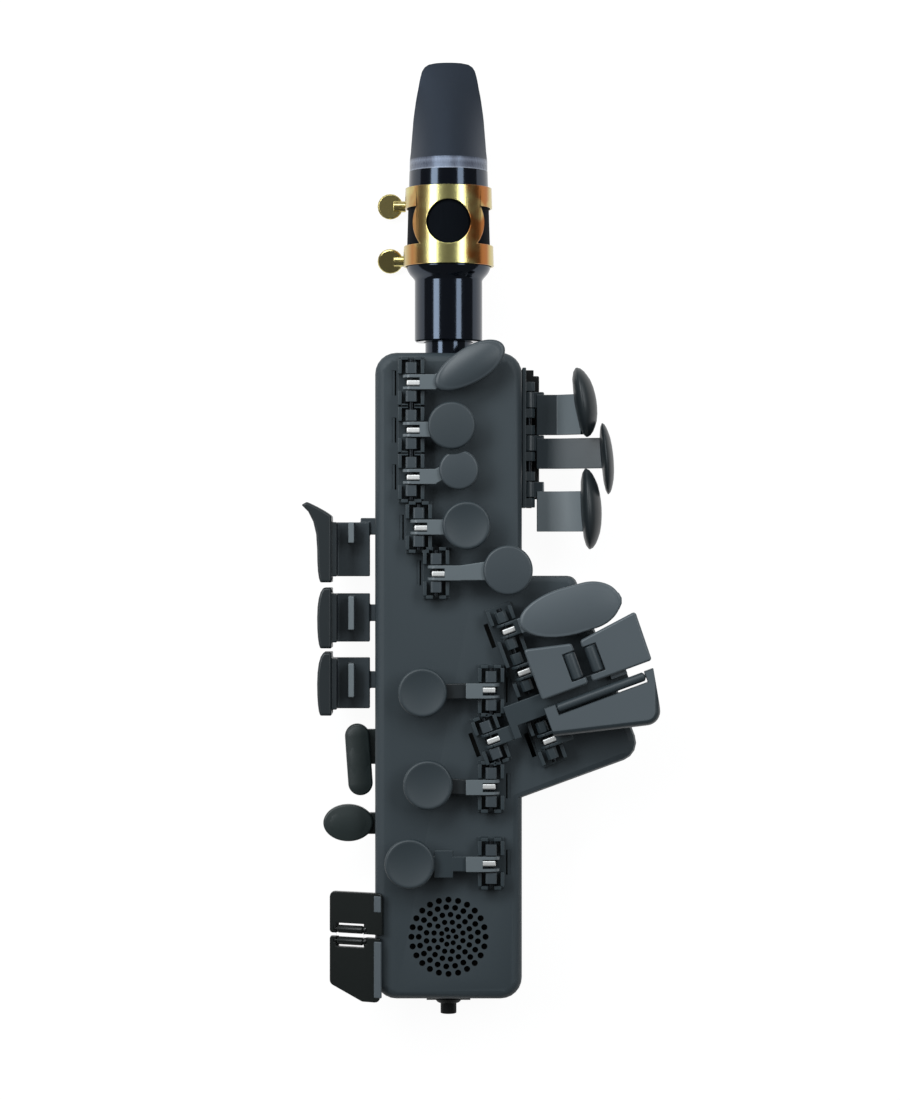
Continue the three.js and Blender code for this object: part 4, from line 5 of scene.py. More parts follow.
import bpy
from bpy.props import FloatProperty, FloatVectorProperty, IntProperty, PointerProperty
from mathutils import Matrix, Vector


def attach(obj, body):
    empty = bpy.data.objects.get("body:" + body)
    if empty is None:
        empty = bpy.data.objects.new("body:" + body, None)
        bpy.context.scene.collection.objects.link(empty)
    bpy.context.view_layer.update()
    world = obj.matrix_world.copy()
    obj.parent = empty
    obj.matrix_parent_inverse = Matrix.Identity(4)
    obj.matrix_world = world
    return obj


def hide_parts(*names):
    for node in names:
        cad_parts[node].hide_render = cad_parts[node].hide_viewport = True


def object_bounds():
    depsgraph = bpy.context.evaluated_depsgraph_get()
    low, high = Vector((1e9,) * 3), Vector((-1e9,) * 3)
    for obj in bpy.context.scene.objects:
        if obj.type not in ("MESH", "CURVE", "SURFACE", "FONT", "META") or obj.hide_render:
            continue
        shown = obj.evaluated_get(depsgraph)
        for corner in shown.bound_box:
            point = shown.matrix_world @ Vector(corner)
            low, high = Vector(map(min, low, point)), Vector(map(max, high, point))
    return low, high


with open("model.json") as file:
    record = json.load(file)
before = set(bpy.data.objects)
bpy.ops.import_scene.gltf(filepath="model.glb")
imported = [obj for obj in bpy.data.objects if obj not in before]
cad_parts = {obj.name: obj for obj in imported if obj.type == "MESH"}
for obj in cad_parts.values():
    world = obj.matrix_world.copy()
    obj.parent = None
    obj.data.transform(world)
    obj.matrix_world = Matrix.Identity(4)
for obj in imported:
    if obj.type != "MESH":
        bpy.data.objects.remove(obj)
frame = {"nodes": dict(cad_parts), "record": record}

bl_info = {
    "name": "Wind controller finish",
    "version": (1, 0, 0),
    "blender": (4, 5, 0),
    "location": "View3D > Sidebar > Wind controller",
    "description": "Adds the finished surfaces of a digital wind controller to its packed solids",
    "category": "Object",
}

MM = 0.001
CAD_BOX = [[float(v) for v in corner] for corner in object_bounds()]
BODY_OF = {node: body for body, nodes in frame["record"]["behaviour"]["bodies"].items() for node in nodes}

# Places and sizes of the solids that the new pieces follow, in millimetres

# Levers: the height of their rods' axis, and heights over that axis
AXIS_Z = 32.2
CRADLE_FLOOR = -3.9
CHEEK_R = 2.7
HUB_HALF = 2.4
HUB_WINDOW_HALF = 1.45
HUB_L = 8
HUB_SINK = 0.5
ARM_TOP = 2.7
ARM_T = 1.7
ARM_SKIN = 0.03
LOW_ARM_TOP = 1.2
TOUCH_FOOT = 2.0
TOUCH_TOP = 4.2
BIS_SCOOP_R = 9.2

# Hub, and touch place and radius, of the stack keys; a negative hollow is a crown
UPPER = {
    "key_front_f": ((-11.8, 93.2), (7.6, 98.8), 6.0, -0.3),
    "key_b": ((-11.8, 78.2), (1.0, 79.4), 7.55, -0.3),
    "key_bis": ((-11.8, 63.3), (3.3, 65.4), 6.3, -0.3),
    "key_a": ((-9.4, 47.3), (5.7, 47.8), 7.65, 0.8),
    "key_g": ((-3.9, 32.8), (18.8, 33.7), 7.85, -0.3),
}
LOWER = {
    "key_f": ((13.5, -4.5), (-8.2, -5.0), 7.8, 0.8),
    "key_e": ((13.5, -35.0), (-6.5, -34.2), 7.85, 0.8),
    "key_d": ((13.5, -59.3), (-12.3, -59.1), 7.9, 0.8),
}

# Housing
SLOT_LINING_Z = (25.5, 27.8)
GRILLE_Y = -83
GRILLE_R = 13.4
GRILLE_RINGS = 6
GRILLE_RING_R = 11.8
GRILLE_RING_STEP = 2.35
GRILLE_PITCH = 3.08
GRILLE_PITCH_STEP = 0.2
GRILLE_HOLE_R = 1.0
GRILLE_HOLE_STEP = 0.04

# Left-hand table, turned about its first hub
TABLE = (23.2, 1.5, 32.6)
TABLE_TURN = 20.3
LOW_B_HUB = (-16.6, -16.8)
# Faces of the table keys below this height are painted as shade, in the hinges' colour
TABLE_SHADE_BELOW_Z = 37.4
PLATE_CUT_Z = 37.99
PLATE_FOOT_Y = -30.4
PLATE_HEAD_Y = -12.9
LONG_ROLLER_X = 21.1
LONG_ROLLER_HALF = 14.9

# Keys on the sides
PALM_Z = 21.5
PALM_PAD_HALF = 8.5
# Along X, the stretch of the first and third palm straps that gets a painted highlight where their faces turn to the
# light
PAINTED_LIGHT_FROM = {"palm_key_1": 33, "palm_key_3": 30}
PAINTED_LIGHT_TO = 42
SIDE_OVAL_FOOT = 13.4
SIDE_OVAL_TOP = 16.84
LIP_PLACE = (-22.5, 0, 30.1)
LIP_LEAN = -28.5
LIP_OF = {"key_e_flat": (-75, -69.8), "key_low_c": (-102.2, -84.3)}

# Mouthpiece end
MOUTH_Z = 18
SHANK_Y = 106.8
FLARE_Y = 130.9
BEAK_Y = 161.5
CRESCENT_Y = 165.4
TIP_Y = 198.2
TABLE_DEPTH = 10.5
LIGATURE_Y = 131.0
LIGATURE_TOP = 156.2
LIGATURE_BAND = 6.6
LIGATURE_SLIT_HALF = 2.6
LIGATURE_WINDOW_Y = 144.4
LIGATURE_WINDOW_R = 7
LIGATURE_RING_R = 11.4
SCREW_YS = (152.1, 134.3)


def linear(hex_colour):
    """Linear red, green, blue of an sRGB hex colour."""
    values = [int(hex_colour[i : i + 2], 16) / 255 for i in (1, 3, 5)]
    return tuple(v / 12.92 if v <= 0.04045 else ((v + 0.055) / 1.055) ** 2.4 for v in values)


def colour_property(name, hex_colour, description):
    return FloatVectorProperty(
        name=name, description=description, default=linear(hex_colour), size=3, subtype="COLOR", min=0, max=1
    )


def length_property(name, millimetres, description):
    return FloatProperty(name=name, description=description, default=millimetres * MM, unit="LENGTH", min=0)


class ControllerColours(bpy.types.PropertyGroup):
    """Colours of the controller's finishes."""

    body: colour_property("Body", "#333c41", "Moulded housing")
    touch: colour_property("Touches", "#30393e", "Round touches of the stack keys")
    # Painted light: a paler copy of the touch colour, for the crowned touches, the knuckles and the side blades'
    # lower faces
    pale: colour_property("Crowned touches", "#3a4247", "Crowned touches of the stack")
    arm: colour_property("Arms", "#626a6e", "Lever arms of the upper keys")
    # Painted shade: the lower keys' stepped-down arms, darkened as if in shadow under their touches
    shaded_low_arm: colour_property("Lower arms", "#1d2225", "Stepped-down arms of the lower keys")
    # Painted highlight on the straps' faces that turn to the light, and on the side keys' ribs
    rubbed: colour_property("Rubbed straps", "#6c7478", "Straps where the hand rubs them")
    # Painted light: a paler copy of the touch colour, for the table's flat plates and oval, and the little-finger
    # lips
    plate: colour_property("Plates", "#50585d", "Plates and oval of the left-hand table")
    side: colour_property("Straps", "#2e373c", "Straps and shanks of the side and palm keys")
    pad: colour_property("Pads", "#23292c", "Touches of the side and palm keys")
    oval: colour_property("Ovals", "#202929", "Side ovals")
    little: colour_property("Little-finger keys", "#151918", "Little-finger plates")
    # Also painted as shade on the table keys below their plates
    hinge: colour_property("Hinges", "#2b353a", "Hinge cradles")
    ebonite: colour_property("Mouthpiece", "#040509", "Polished mouthpiece")
    beak: colour_property("Beak", "#10151c", "Satin beak")
    brass: colour_property("Ligature", "#d8d08c", "Lacquered brass")
    # Partly painted reflection: laid in bands at the ligature's sides, broken up in patches like tarnish
    copper: colour_property("Tarnish", "#a86a38", "Copper tarnish of the brass")
    steel: colour_property("Springs", "#f6f6f4", "Bright spring steel")
    rod: colour_property("Rods", "#2a2d30", "Blackened rods and coils")
    cane: colour_property("Reed", "#d8bd84", "Cane")
    rubber: colour_property("Rubber", "#040505", "Neck sleeve and button")
    board: colour_property("Board", "#0c1512", "Solder mask")
    pouch: colour_property("Battery", "#a9adb0", "Foil pouch")
    # Also painted as shade on the walls of the grille's holes
    cone: colour_property("Driver", "#101214", "Loudspeaker cone")
    floor: colour_property("Floor", "#fbfbfb", "Seamless floor")


class ControllerSizes(bpy.types.PropertyGroup):
    """Sizes that a user would change."""

    edge: length_property("Edge rounding", 0.16, "Rounding of the small moulded edges")
    grain: length_property("Grain", 0.45, "Spacing of the moulded texture, drawn coarse enough to show")
    sides: IntProperty(name="Round sides", description="Corners of a round piece", default=64, min=16)
    camera_height: length_property("Camera height", 1000, "Height of the camera over the floor")


def sizes():
    return bpy.context.scene.controller_sizes


def colours():
    return bpy.context.scene.controller_colours


# Materials

# How far a finish drifts to both sides: its tone as a share, and its roughness
TONE_DRIFT = 0.06
GLOSS_DRIFT = 0.04


def add_node(tree, kind, values=None, links=None, **settings):
    """Adds a node with its settings, socket values and incoming links."""
    made = tree.nodes.new(kind)
    for name, value in settings.items():
        setattr(made, name, value)
    for socket, value in (values or {}).items():
        made.inputs[socket].default_value = value
    for socket, source in (links or {}).items():
        tree.links.new(source, made.inputs[socket])
    return made


def blank_material(name):
    material = bpy.data.materials.get(name)
    if material:
        return material, None
    material = bpy.data.materials.new(name)
    material.use_nodes = True
    material.node_tree.nodes.clear()
    return material, material.node_tree


def set_stops(ramp, stops):
    """Puts the stops of place and colour into a colour ramp."""
    held = ramp.color_ramp.elements
    for index, (place, colour) in enumerate(stops):
        stop = held[0] if index == 0 else held[-1] if index == len(stops) - 1 else held.new(place)
        stop.position, stop.color = place, (*colour, 1)


def per_metre(millimetres):
    """Noise scale that gives one blob for each so many millimetres."""
    return 1 / (millimetres * MM)


def moulded_plastic(name, colour, roughness, grain_mm, bump_mm, specular=0.5):
    """Spark-textured or satin moulded plastic: fine grain, and a slow drift of tone and gloss."""
    material, tree = blank_material(name)
    if not tree:
        return material
    place = add_node(tree, "ShaderNodeTexCoord").outputs["Object"]
    grain = add_node(
        tree, "ShaderNodeTexNoise", {"Scale": per_metre(grain_mm), "Detail": 3, "Roughness": 0.6}, {"Vector": place}
    )
    drift = add_node(tree, "ShaderNodeTexNoise", {"Scale": per_metre(30), "Detail": 2}, {"Vector": place})
    light = [min(1, c * (1 + TONE_DRIFT)) for c in colour] + [1]
    dark = [c * (1 - TONE_DRIFT) for c in colour] + [1]
    tone = add_node(tree, "ShaderNodeMix", {6: dark, 7: light}, {0: drift.outputs["Fac"]}, data_type="RGBA")
    gloss = add_node(
        tree, "ShaderNodeMapRange", {"To Min": roughness - GLOSS_DRIFT, "To Max": roughness + GLOSS_DRIFT},
        {"Value": grain.outputs["Fac"]},
    )
    bump = add_node(
        tree, "ShaderNodeBump", {"Strength": 0.5, "Distance": bump_mm * MM}, {"Height": grain.outputs["Fac"]}
    )
    shader = add_node(
        tree, "ShaderNodeBsdfPrincipled", {"IOR": 1.5, "Specular IOR Level": specular},
        {"Base Color": tone.outputs[2], "Roughness": gloss.outputs["Result"], "Normal": bump.outputs["Normal"]},
    )
    add_node(tree, "ShaderNodeOutputMaterial", links={"Surface": shader.outputs["BSDF"]})
    return material


def ebonite(name, low, high, streak_mm, colour=None, bands=(), level=0.65):
    """Turned hard rubber in one colour, or in bands of painted highlight along Y; faint streaks vary its gloss from
    low to high.
    """
    material, tree = blank_material(name)
    if not tree:
        return material
    place = add_node(tree, "ShaderNodeTexCoord").outputs["Object"]
    along = add_node(tree, "ShaderNodeMapping", {"Scale": (1, 0.15, 1)}, {"Vector": place})
    streaks = add_node(
        tree, "ShaderNodeTexNoise", {"Scale": per_metre(streak_mm), "Detail": 3}, {"Vector": along.outputs["Vector"]}
    )
    gloss = add_node(tree, "ShaderNodeMapRange", {"To Min": low, "To Max": high}, {"Value": streaks.outputs["Fac"]})
    if bands:
        first, last = bands[0][0], bands[-1][0]
        axes = add_node(tree, "ShaderNodeSeparateXYZ", links={"Vector": place})
        share = add_node(
            tree, "ShaderNodeMapRange", {"From Min": first * MM, "From Max": last * MM}, {"Value": axes.outputs["Y"]}
        )
        ramp = add_node(tree, "ShaderNodeValToRGB", links={"Fac": share.outputs["Result"]})
        set_stops(ramp, [((y - first) / (last - first), linear(hex_colour)) for y, hex_colour in bands])
        tone = ramp.outputs["Color"]
    else:
        tone = add_node(
            tree, "ShaderNodeMix", {6: [c * 0.86 for c in colour] + [1], 7: [c * 1.12 for c in colour] + [1]},
            {0: streaks.outputs["Fac"]}, data_type="RGBA",
        ).outputs[2]
    shader = add_node(
        tree, "ShaderNodeBsdfPrincipled",
        {"IOR": 1.52, "Specular IOR Level": level, "Specular Tint": (0.62, 0.76, 1, 1)},
        {"Base Color": tone, "Roughness": gloss.outputs["Result"]},
    )
    add_node(tree, "ShaderNodeOutputMaterial", links={"Surface": shader.outputs["BSDF"]})
    return material


def metal(name, colour, roughness, line_mm):
    """Bare metal: fine marks of its polishing vary its tone and gloss."""
    material, tree = blank_material(name)
    if not tree:
        return material
    place = add_node(tree, "ShaderNodeTexCoord").outputs["Object"]
    lines = add_node(tree, "ShaderNodeTexNoise", {"Scale": per_metre(line_mm), "Detail": 4}, {"Vector": place})
    gloss = add_node(
        tree, "ShaderNodeMapRange", {"To Min": roughness - GLOSS_DRIFT, "To Max": roughness + GLOSS_DRIFT},
        {"Value": lines.outputs["Fac"]},
    )
    tone = add_node(
        tree, "ShaderNodeMix", {6: [c * 0.85 for c in colour] + [1], 7: list(colour) + [1]},
        {0: lines.outputs["Fac"]}, data_type="RGBA",
    )
    bump = add_node(
        tree, "ShaderNodeBump", {"Strength": 0.15, "Distance": 0.02 * MM}, {"Height": lines.outputs["Fac"]}
    )
    shader = add_node(
        tree, "ShaderNodeBsdfPrincipled", {"Metallic": 1},
        {"Base Color": tone.outputs[2], "Roughness": gloss.outputs["Result"], "Normal": bump.outputs["Normal"]},
    )
    add_node(tree, "ShaderNodeOutputMaterial", links={"Surface": shader.outputs["BSDF"]})
    return material


def body_abs():
    """ABS from a spark-eroded mould: matte, with a fine even grain."""
    return moulded_plastic("abs_spark_textured", colours().body, 0.58, sizes().grain / MM, 0.03, 0.4)


def touch_abs():
    """ABS from a finer mould: a soft satin that catches broad highlights."""
    return moulded_plastic("abs_satin_moulded", colours().touch, 0.48, 0.35, 0.012)


def touch_painted_light():
    """The same ABS on the crowned touches, painted paler as a lit copy of the touches, and a little smoother."""
    return moulded_plastic("abs_satin_painted_light", colours().pale, 0.42, 0.35, 0.012)


def arm_painted_shade():
    """Zinc casting under lacquer, painted dark as shade where the lower arms step down under their touches."""
    return moulded_plastic("zinc_lacquered_painted_shade", colours().shaded_low_arm, 0.36, 0.6, 0.006)


def strap_painted_highlight():
    """The ABS of the straps, painted pale as a highlight where their faces turn towards the light."""
    return moulded_plastic("abs_painted_highlight", colours().rubbed, 0.4, 0.5, 0.01)


def pad_abs():
    """Darker satin ABS of the pads on the sides."""
    return moulded_plastic("abs_satin_pad", colours().pad, 0.4, 0.35, 0.012, 0.4)


def oval_abs():
    """Dark ABS of the side ovals, satin from the mould."""
    return moulded_plastic("abs_satin_dark", colours().oval, 0.42, 0.35, 0.008)


def arm_paint():
    """Zinc casting under satin lacquer: paler and smoother than the touches."""
    return moulded_plastic("zinc_lacquered", colours().arm, 0.34, 0.6, 0.006)


def plate_painted_light():
    """The same fine mould as the touches, painted a slightly paler tone on the table's flat faces, as a lit copy of
    the touches.
    """
    return moulded_plastic("abs_satin_plate_painted_light", colours().plate, 0.42, 0.35, 0.012)


def side_abs():
    """Satin ABS of the straps and shanks on the sides."""
    return moulded_plastic("abs_satin_side", colours().side, 0.38, 0.35, 0.012)


def little_abs():
    """Almost black polished ABS, which mirrors the lamps on its rolled edges."""
    return moulded_plastic("abs_polished_black", colours().little, 0.3, 0.8, 0.004, 0.3)


def nylon_and_painted_shade():
    """Glass-filled nylon: darker and a little rougher than the keys; on the table keys it is painted shade under
    their plates.
    """
    return moulded_plastic("nylon_glass_filled_and_painted_shade", colours().hinge, 0.46, 0.4, 0.02)


def knuckle_painted_light():
    """The same nylon on the knuckles, painted paler as lit tops, and smoother."""
    return moulded_plastic("nylon_painted_light", colours().pale, 0.4, 0.4, 0.012)


def sleeve_rubber():
    """Moulded rubber: deep matte black."""
    return moulded_plastic("rubber_moulded", colours().rubber, 0.62, 0.5, 0.02, 0.25)


def ebonite_gloss():
    """Hard rubber buffed to a high gloss: black, with sharp lamp reflections."""
    return ebonite("ebonite_buffed", 0.09, 0.15, 1.2, colours().ebonite)


def ebonite_satin():
    """Hard rubber left as milled on the beak: a bluish satin grey."""
    return ebonite("ebonite_milled", 0.4, 0.5, 0.5, colours().beak)


def ebonite_painted_highlight():
    """The buffed shoulder where the beak starts: bands of painted highlight for the lamps' reflection, and a softer
    gloss.
    """
    # Painted highlight: pale and dark bands across the shoulder stand for the lamps' reflection
    bands = ((161.4, "#9a9faa"), (162.0, "#5a5e6a"), (163.2, "#4a4e5a"), (164.4, "#6c717e"), (165.4, "#3a3e4a"))
    return ebonite("ebonite_painted_reflection", 0.2, 0.36, 0.8, bands=bands)


def ebonite_painted_shade():
    """The seat of the ligature: dull and less glossy, and painted darker as shade."""
    return ebonite("ebonite_dulled_painted_shade", 0.75, 0.85, 0.8, [c * 0.3 for c in colours().ebonite], level=0.15)


def ligature_brass():
    """Lacquered brass sheet: bright, with soft polishing lines, and a coppery tone at both sides, most to its right:
    partly painted reflection of warm surroundings, partly tarnish in patches.
    """
    material, tree = blank_material("brass_lacquered")
    if not tree:
        return material
    place = add_node(tree, "ShaderNodeTexCoord").outputs["Object"]
    drawn = add_node(tree, "ShaderNodeMapping", {"Scale": (1, 6, 1)}, {"Vector": place})
    lines = add_node(
        tree, "ShaderNodeTexNoise", {"Scale": per_metre(0.8), "Detail": 4}, {"Vector": drawn.outputs["Vector"]}
    )
    cloud = add_node(tree, "ShaderNodeTexNoise", {"Scale": per_metre(9), "Detail": 2}, {"Vector": place})
    across = add_node(tree, "ShaderNodeSeparateXYZ", links={"Vector": place})
    side = add_node(
        tree, "ShaderNodeMapRange", {"From Min": -14.5 * MM, "From Max": 14.5 * MM}, {"Value": across.outputs["X"]}
    )
    bands = add_node(tree, "ShaderNodeValToRGB", links={"Fac": side.outputs["Result"]})
    # Painted reflection: the coppery tone is laid at both sides, most to the right, and broken up by the cloud noise
    # like tarnish
    shares = ((0.0, 0.2), (0.1, 0.9), (0.2, 0.6), (0.34, 0), (0.66, 0), (0.73, 1), (0.92, 1), (0.96, 0.3), (1.0, 0.2))
    set_stops(bands, [(at, [share] * 3) for at, share in shares])
    wisps = add_node(tree, "ShaderNodeMapRange", {"From Min": 0.25, "From Max": 0.5}, {"Value": cloud.outputs["Fac"]})
    reflection_and_tarnish = add_node(
        tree, "ShaderNodeMath", {}, {0: bands.outputs["Color"], 1: wisps.outputs["Result"]},
        operation="MULTIPLY", use_clamp=True,
    )
    clean = add_node(
        tree, "ShaderNodeMix", {6: [c * 0.85 for c in colours().brass] + [1], 7: list(colours().brass) + [1]},
        {0: lines.outputs["Fac"]}, data_type="RGBA",
    )
    tone = add_node(
        tree, "ShaderNodeMix", {7: list(colours().copper) + [1]}, {0: reflection_and_tarnish.outputs[0], 6: clean.outputs[2]},
        data_type="RGBA",
    )
    gloss = add_node(tree, "ShaderNodeMapRange", {"To Min": 0.19, "To Max": 0.3}, {"Value": lines.outputs["Fac"]})
    shader = add_node(
        tree, "ShaderNodeBsdfPrincipled", {"Metallic": 1},
        {"Base Color": tone.outputs[2], "Roughness": gloss.outputs["Result"]},
    )
    add_node(tree, "ShaderNodeOutputMaterial", links={"Surface": shader.outputs["BSDF"]})
    return material


def spring_steel():
    """Drawn and ground spring steel: near-white glints."""
    return metal("steel_ground", colours().steel, 0.5, 0.3)


def rod_steel():
    """Blackened steel rod and coil: dark, with a thin glint."""
    return metal("steel_blackened", colours().rod, 0.4, 0.3)


def reed_cane():
    """Split cane: pale fibres run from the butt to the tip."""
    material, tree = blank_material("cane_split")
    if not tree:
        return material
    place = add_node(tree, "ShaderNodeTexCoord").outputs["Object"]
    fibres = add_node(tree, "ShaderNodeMapping", {"Scale": (1, 0.03, 1)}, {"Vector": place})
    grain = add_node(
        tree, "ShaderNodeTexNoise", {"Scale": per_metre(0.3), "Detail": 4}, {"Vector": fibres.outputs["Vector"]}
    )
    colour = colours().cane
    tone = add_node(
        tree, "ShaderNodeMix", {6: [c * 0.72 for c in colour] + [1], 7: list(colour) + [1]},
        {0: grain.outputs["Fac"]}, data_type="RGBA",
    )
    shader = add_node(
        tree, "ShaderNodeBsdfPrincipled", {"Roughness": 0.6, "IOR": 1.5}, {"Base Color": tone.outputs[2]}
    )
    add_node(tree, "ShaderNodeOutputMaterial", links={"Surface": shader.outputs["BSDF"]})
    return material


def board_mask():
    """Solder mask over a woven laminate."""
    return moulded_plastic("solder_mask", colours().board, 0.35, 0.6, 0.01)


def battery_foil():
    """Aluminium laminate foil of a pouch cell."""
    return metal("aluminium_foil_pouch", colours().pouch, 0.42, 2)


def cone_paper_and_hole_shade():
    """Painted steel basket and pressed paper cone; the same dark colour is painted as shade on the grille's hole
    walls.
    """
    return moulded_plastic("paper_cone_and_hole_shade", colours().cone, 0.75, 0.8, 0.03)


# Making and finishing pieces

def enter(mode):
    bpy.ops.object.mode_set(mode=mode)


def deselect():
    if bpy.context.object and bpy.context.object.mode != "OBJECT":
        enter("OBJECT")
    bpy.ops.object.select_all(action="DESELECT")


def pick(piece):
    deselect()
    piece.select_set(True)
    bpy.context.view_layer.objects.active = piece


def select_parts(piece, kind, parts, test):
    """Opens a piece in edit mode, with only those of its points or edges selected that pass the test."""
    pick(piece)
    enter("EDIT")
    bpy.ops.mesh.select_mode(type=kind)
    bpy.ops.mesh.select_all(action="DESELECT")
    enter("OBJECT")
    for part in getattr(piece.data, parts):
        part.select = bool(test(part))
    enter("EDIT")


def shift_points(piece, test, by, stretch=(1, 1, 1)):
    """Stretches the points whose place in millimetres passes the test, and moves them in millimetres."""
    select_parts(piece, "VERT", "vertices", lambda point: test(point.co / MM))
    bpy.ops.transform.resize(value=stretch, center_override=(0, 0, 0))
    bpy.ops.transform.translate(value=[v * MM for v in by])
    enter("OBJECT")


def ends_of(piece, line):
    """The places of an edge's two ends in millimetres."""
    return [piece.data.vertices[i].co / MM for i in line.vertices]


def bevel_edges(piece, width, steps, test):
    """Rounds the edges whose ends in millimetres pass the test."""
    select_parts(piece, "EDGE", "edges", lambda line: test(*ends_of(piece, line)))
    bpy.ops.mesh.bevel(offset=width * MM, segments=steps, affect="EDGES")
    enter("OBJECT")


def settle(piece, place=(0, 0, 0), turn=(0, 0, 0)):
    """Moves a piece to its place in millimetres, turned in degrees, and puts that into its mesh."""
    pick(piece)
    piece.location = [v * MM for v in place]
    piece.rotation_euler = [math.radians(v) for v in turn]
    bpy.ops.object.transform_apply(location=True, rotation=True, scale=True)
    return piece


def block(x, y, z, edge=0.0, steps=2):
    """A box between two places on each axis in millimetres, with rounded edges."""
    deselect()
    spans = [abs(b - a) * MM for a, b in (x, y, z)]
    middle = [(a + b) / 2 * MM for a, b in (x, y, z)]
    bpy.ops.mesh.primitive_cube_add(size=1, location=middle, scale=spans)
    piece = bpy.context.object
    bpy.ops.object.transform_apply(location=True, rotation=True, scale=True)
    if edge:
        round_edges(piece, edge * MM, steps)
    return piece


def turned(profile, sides=None, aside=0):
    """A closed body drawn up ring by ring from a disc: radius, or its two half widths, and height in millimetres.

    The rings lie about Z, or as many times their radius aside of it along Y.
    """
    deselect()
    rings = [((r, r) if isinstance(r, (int, float)) else r, z) for r, z in profile]
    (half, height), *rest = rings
    bpy.ops.mesh.primitive_circle_add(vertices=sides or sizes().sides, radius=MM, fill_type="NGON")
    piece = bpy.context.object
    enter("EDIT")
    bpy.ops.transform.translate(value=(0, aside * MM, 0))
    bpy.ops.transform.resize(value=(half[0], half[1], 1), center_override=(0, 0, 0))
    bpy.ops.transform.translate(value=(0, 0, height * MM))
    for wider, z in rest:
        bpy.ops.mesh.extrude_region_move(TRANSFORM_OT_translate={"value": (0, 0, (z - height) * MM)})
        scale = (wider[0] / half[0], wider[1] / half[1], 1)
        bpy.ops.transform.resize(value=scale, center_override=(0, 0, z * MM))
        half, height = wider, z
    bpy.ops.mesh.select_all(action="SELECT")
    bpy.ops.mesh.normals_make_consistent(inside=False)
    enter("OBJECT")
    return piece


def combine(piece, tool, operation="DIFFERENCE"):
    """Cuts, joins or keeps the shared part of two closed bodies."""
    pick(piece)
    step = piece.modifiers.new("shape", "BOOLEAN")
    step.object = tool
    step.operation = operation
    step.solver = "EXACT"
    bpy.ops.object.modifier_apply(modifier=step.name)
    bpy.data.objects.remove(tool)
    return piece


def joined(pieces):
    """Makes one object of several, each with the finish that it has."""
    deselect()
    for piece in pieces:
        piece.select_set(True)
    bpy.context.view_layer.objects.active = pieces[0]
    bpy.ops.object.join()
    return pieces[0]


def copied(piece):
    pick(piece)
    bpy.ops.object.duplicate(linked=False)
    return bpy.context.object


def round_edges(piece, width, steps=2, angle=32):
    pick(piece)
    bevel = piece.modifiers.new("edges", "BEVEL")
    bevel.width = width
    bevel.segments = steps
    bevel.limit_method = "ANGLE"
    bevel.angle_limit = math.radians(angle)
    bevel.use_clamp_overlap = False
    bpy.ops.object.modifier_apply(modifier=bevel.name)
    return piece


def finish(piece, material, degrees=40):
    """Smooths a new piece and gives it its finish."""
    pick(piece)
    bpy.ops.object.shade_smooth_by_angle(angle=math.radians(degrees), keep_sharp_edges=False)
    even = piece.modifiers.new("even", "WEIGHTED_NORMAL")
    even.keep_sharp = True
    bpy.ops.object.modifier_apply(modifier=even.name)
    piece.data.materials.clear()
    piece.data.materials.append(material)
    return piece


def paint(piece, material, test):
    """Gives the faces whose centre, in millimetres, and normal pass the test another finish."""
    piece.data.materials.append(material)
    index = len(piece.data.materials) - 1
    for face in piece.data.polygons:
        if test(face.center / MM, face.normal):
            face.material_index = index
    return piece


def hand_over(piece, node):
    """Names a piece after the solid that it stands for, and gives it that solid's body."""
    piece.name = node + "_finish"
    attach(piece, BODY_OF[node])
    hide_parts(node)
    return piece


def dressed_copy(node, material, edge=None, steps=2, smoothing=40, whole=True):
    """A copy of a solid in its finish, in place of it; its faces are made whole and its edges rounded if whole."""
    piece = bpy.data.objects.new(node, frame["nodes"][node].data.copy())
    bpy.context.scene.collection.objects.link(piece)
    pick(piece)
    bpy.ops.mesh.customdata_custom_splitnormals_clear()
    enter("EDIT")
    bpy.ops.mesh.select_all(action="SELECT")
    bpy.ops.mesh.remove_doubles(threshold=0.002 * MM)
    if whole:
        bpy.ops.mesh.dissolve_limited(angle_limit=math.radians(0.4))
    enter("OBJECT")
    width = sizes().edge if edge is None else edge * MM
    if whole and width:
        round_edges(piece, width, steps)
    finish(piece, material, smoothing)
    return hand_over(piece, node)


# Parts of the keys

def egg(profile, sides=None, left=1.0, right=1.0, wider=0.0, longer=0.0):
    """A turned button, with its halves stretched to the left and right, and parted along X or Y."""
    piece = turned(profile, sides)
    for side, stretch in ((-1, left), (1, right)):
        if stretch != 1 or wider:
            shift_points(piece, lambda at: at.x * side > 1e-4, (side * wider, 0, 0), (stretch, 1, 1))
        if longer:
            shift_points(piece, lambda at: at.y * side > 1e-4, (0, side * longer, 0))
    return piece


def button_profile(radius, foot, top, hollow, rim=0.85, ratio=1.0):
    """Rings of a key touch with a rolled rim; hollow dishes its top, or crowns it when negative."""
    rings = [(radius - 0.35, foot), (radius, foot + 0.3), (radius, top - rim)]
    rings += [(radius - rim * (1 - math.cos(a)), top - rim * (1 - math.sin(a))) for a in (0.3, 0.6, 0.9, 1.15, 1.36)]
    flat = radius - rim
    for share in (1.0, 0.93, 0.84, 0.72, 0.58, 0.42, 0.24, 0.06):
        rings.append((flat * share, top - hollow * (1 - share * share)))
    return [((r, r * ratio), z) for r, z in rings]


def touch(x, y, radius, hollow, turn=0.0, **outline):
    """The touch of a stack key, over the axis of its rod."""
    return settle(egg(button_profile(radius, TOUCH_FOOT, TOUCH_TOP, hollow), **outline), (x, y, 0), (0, 0, turn))


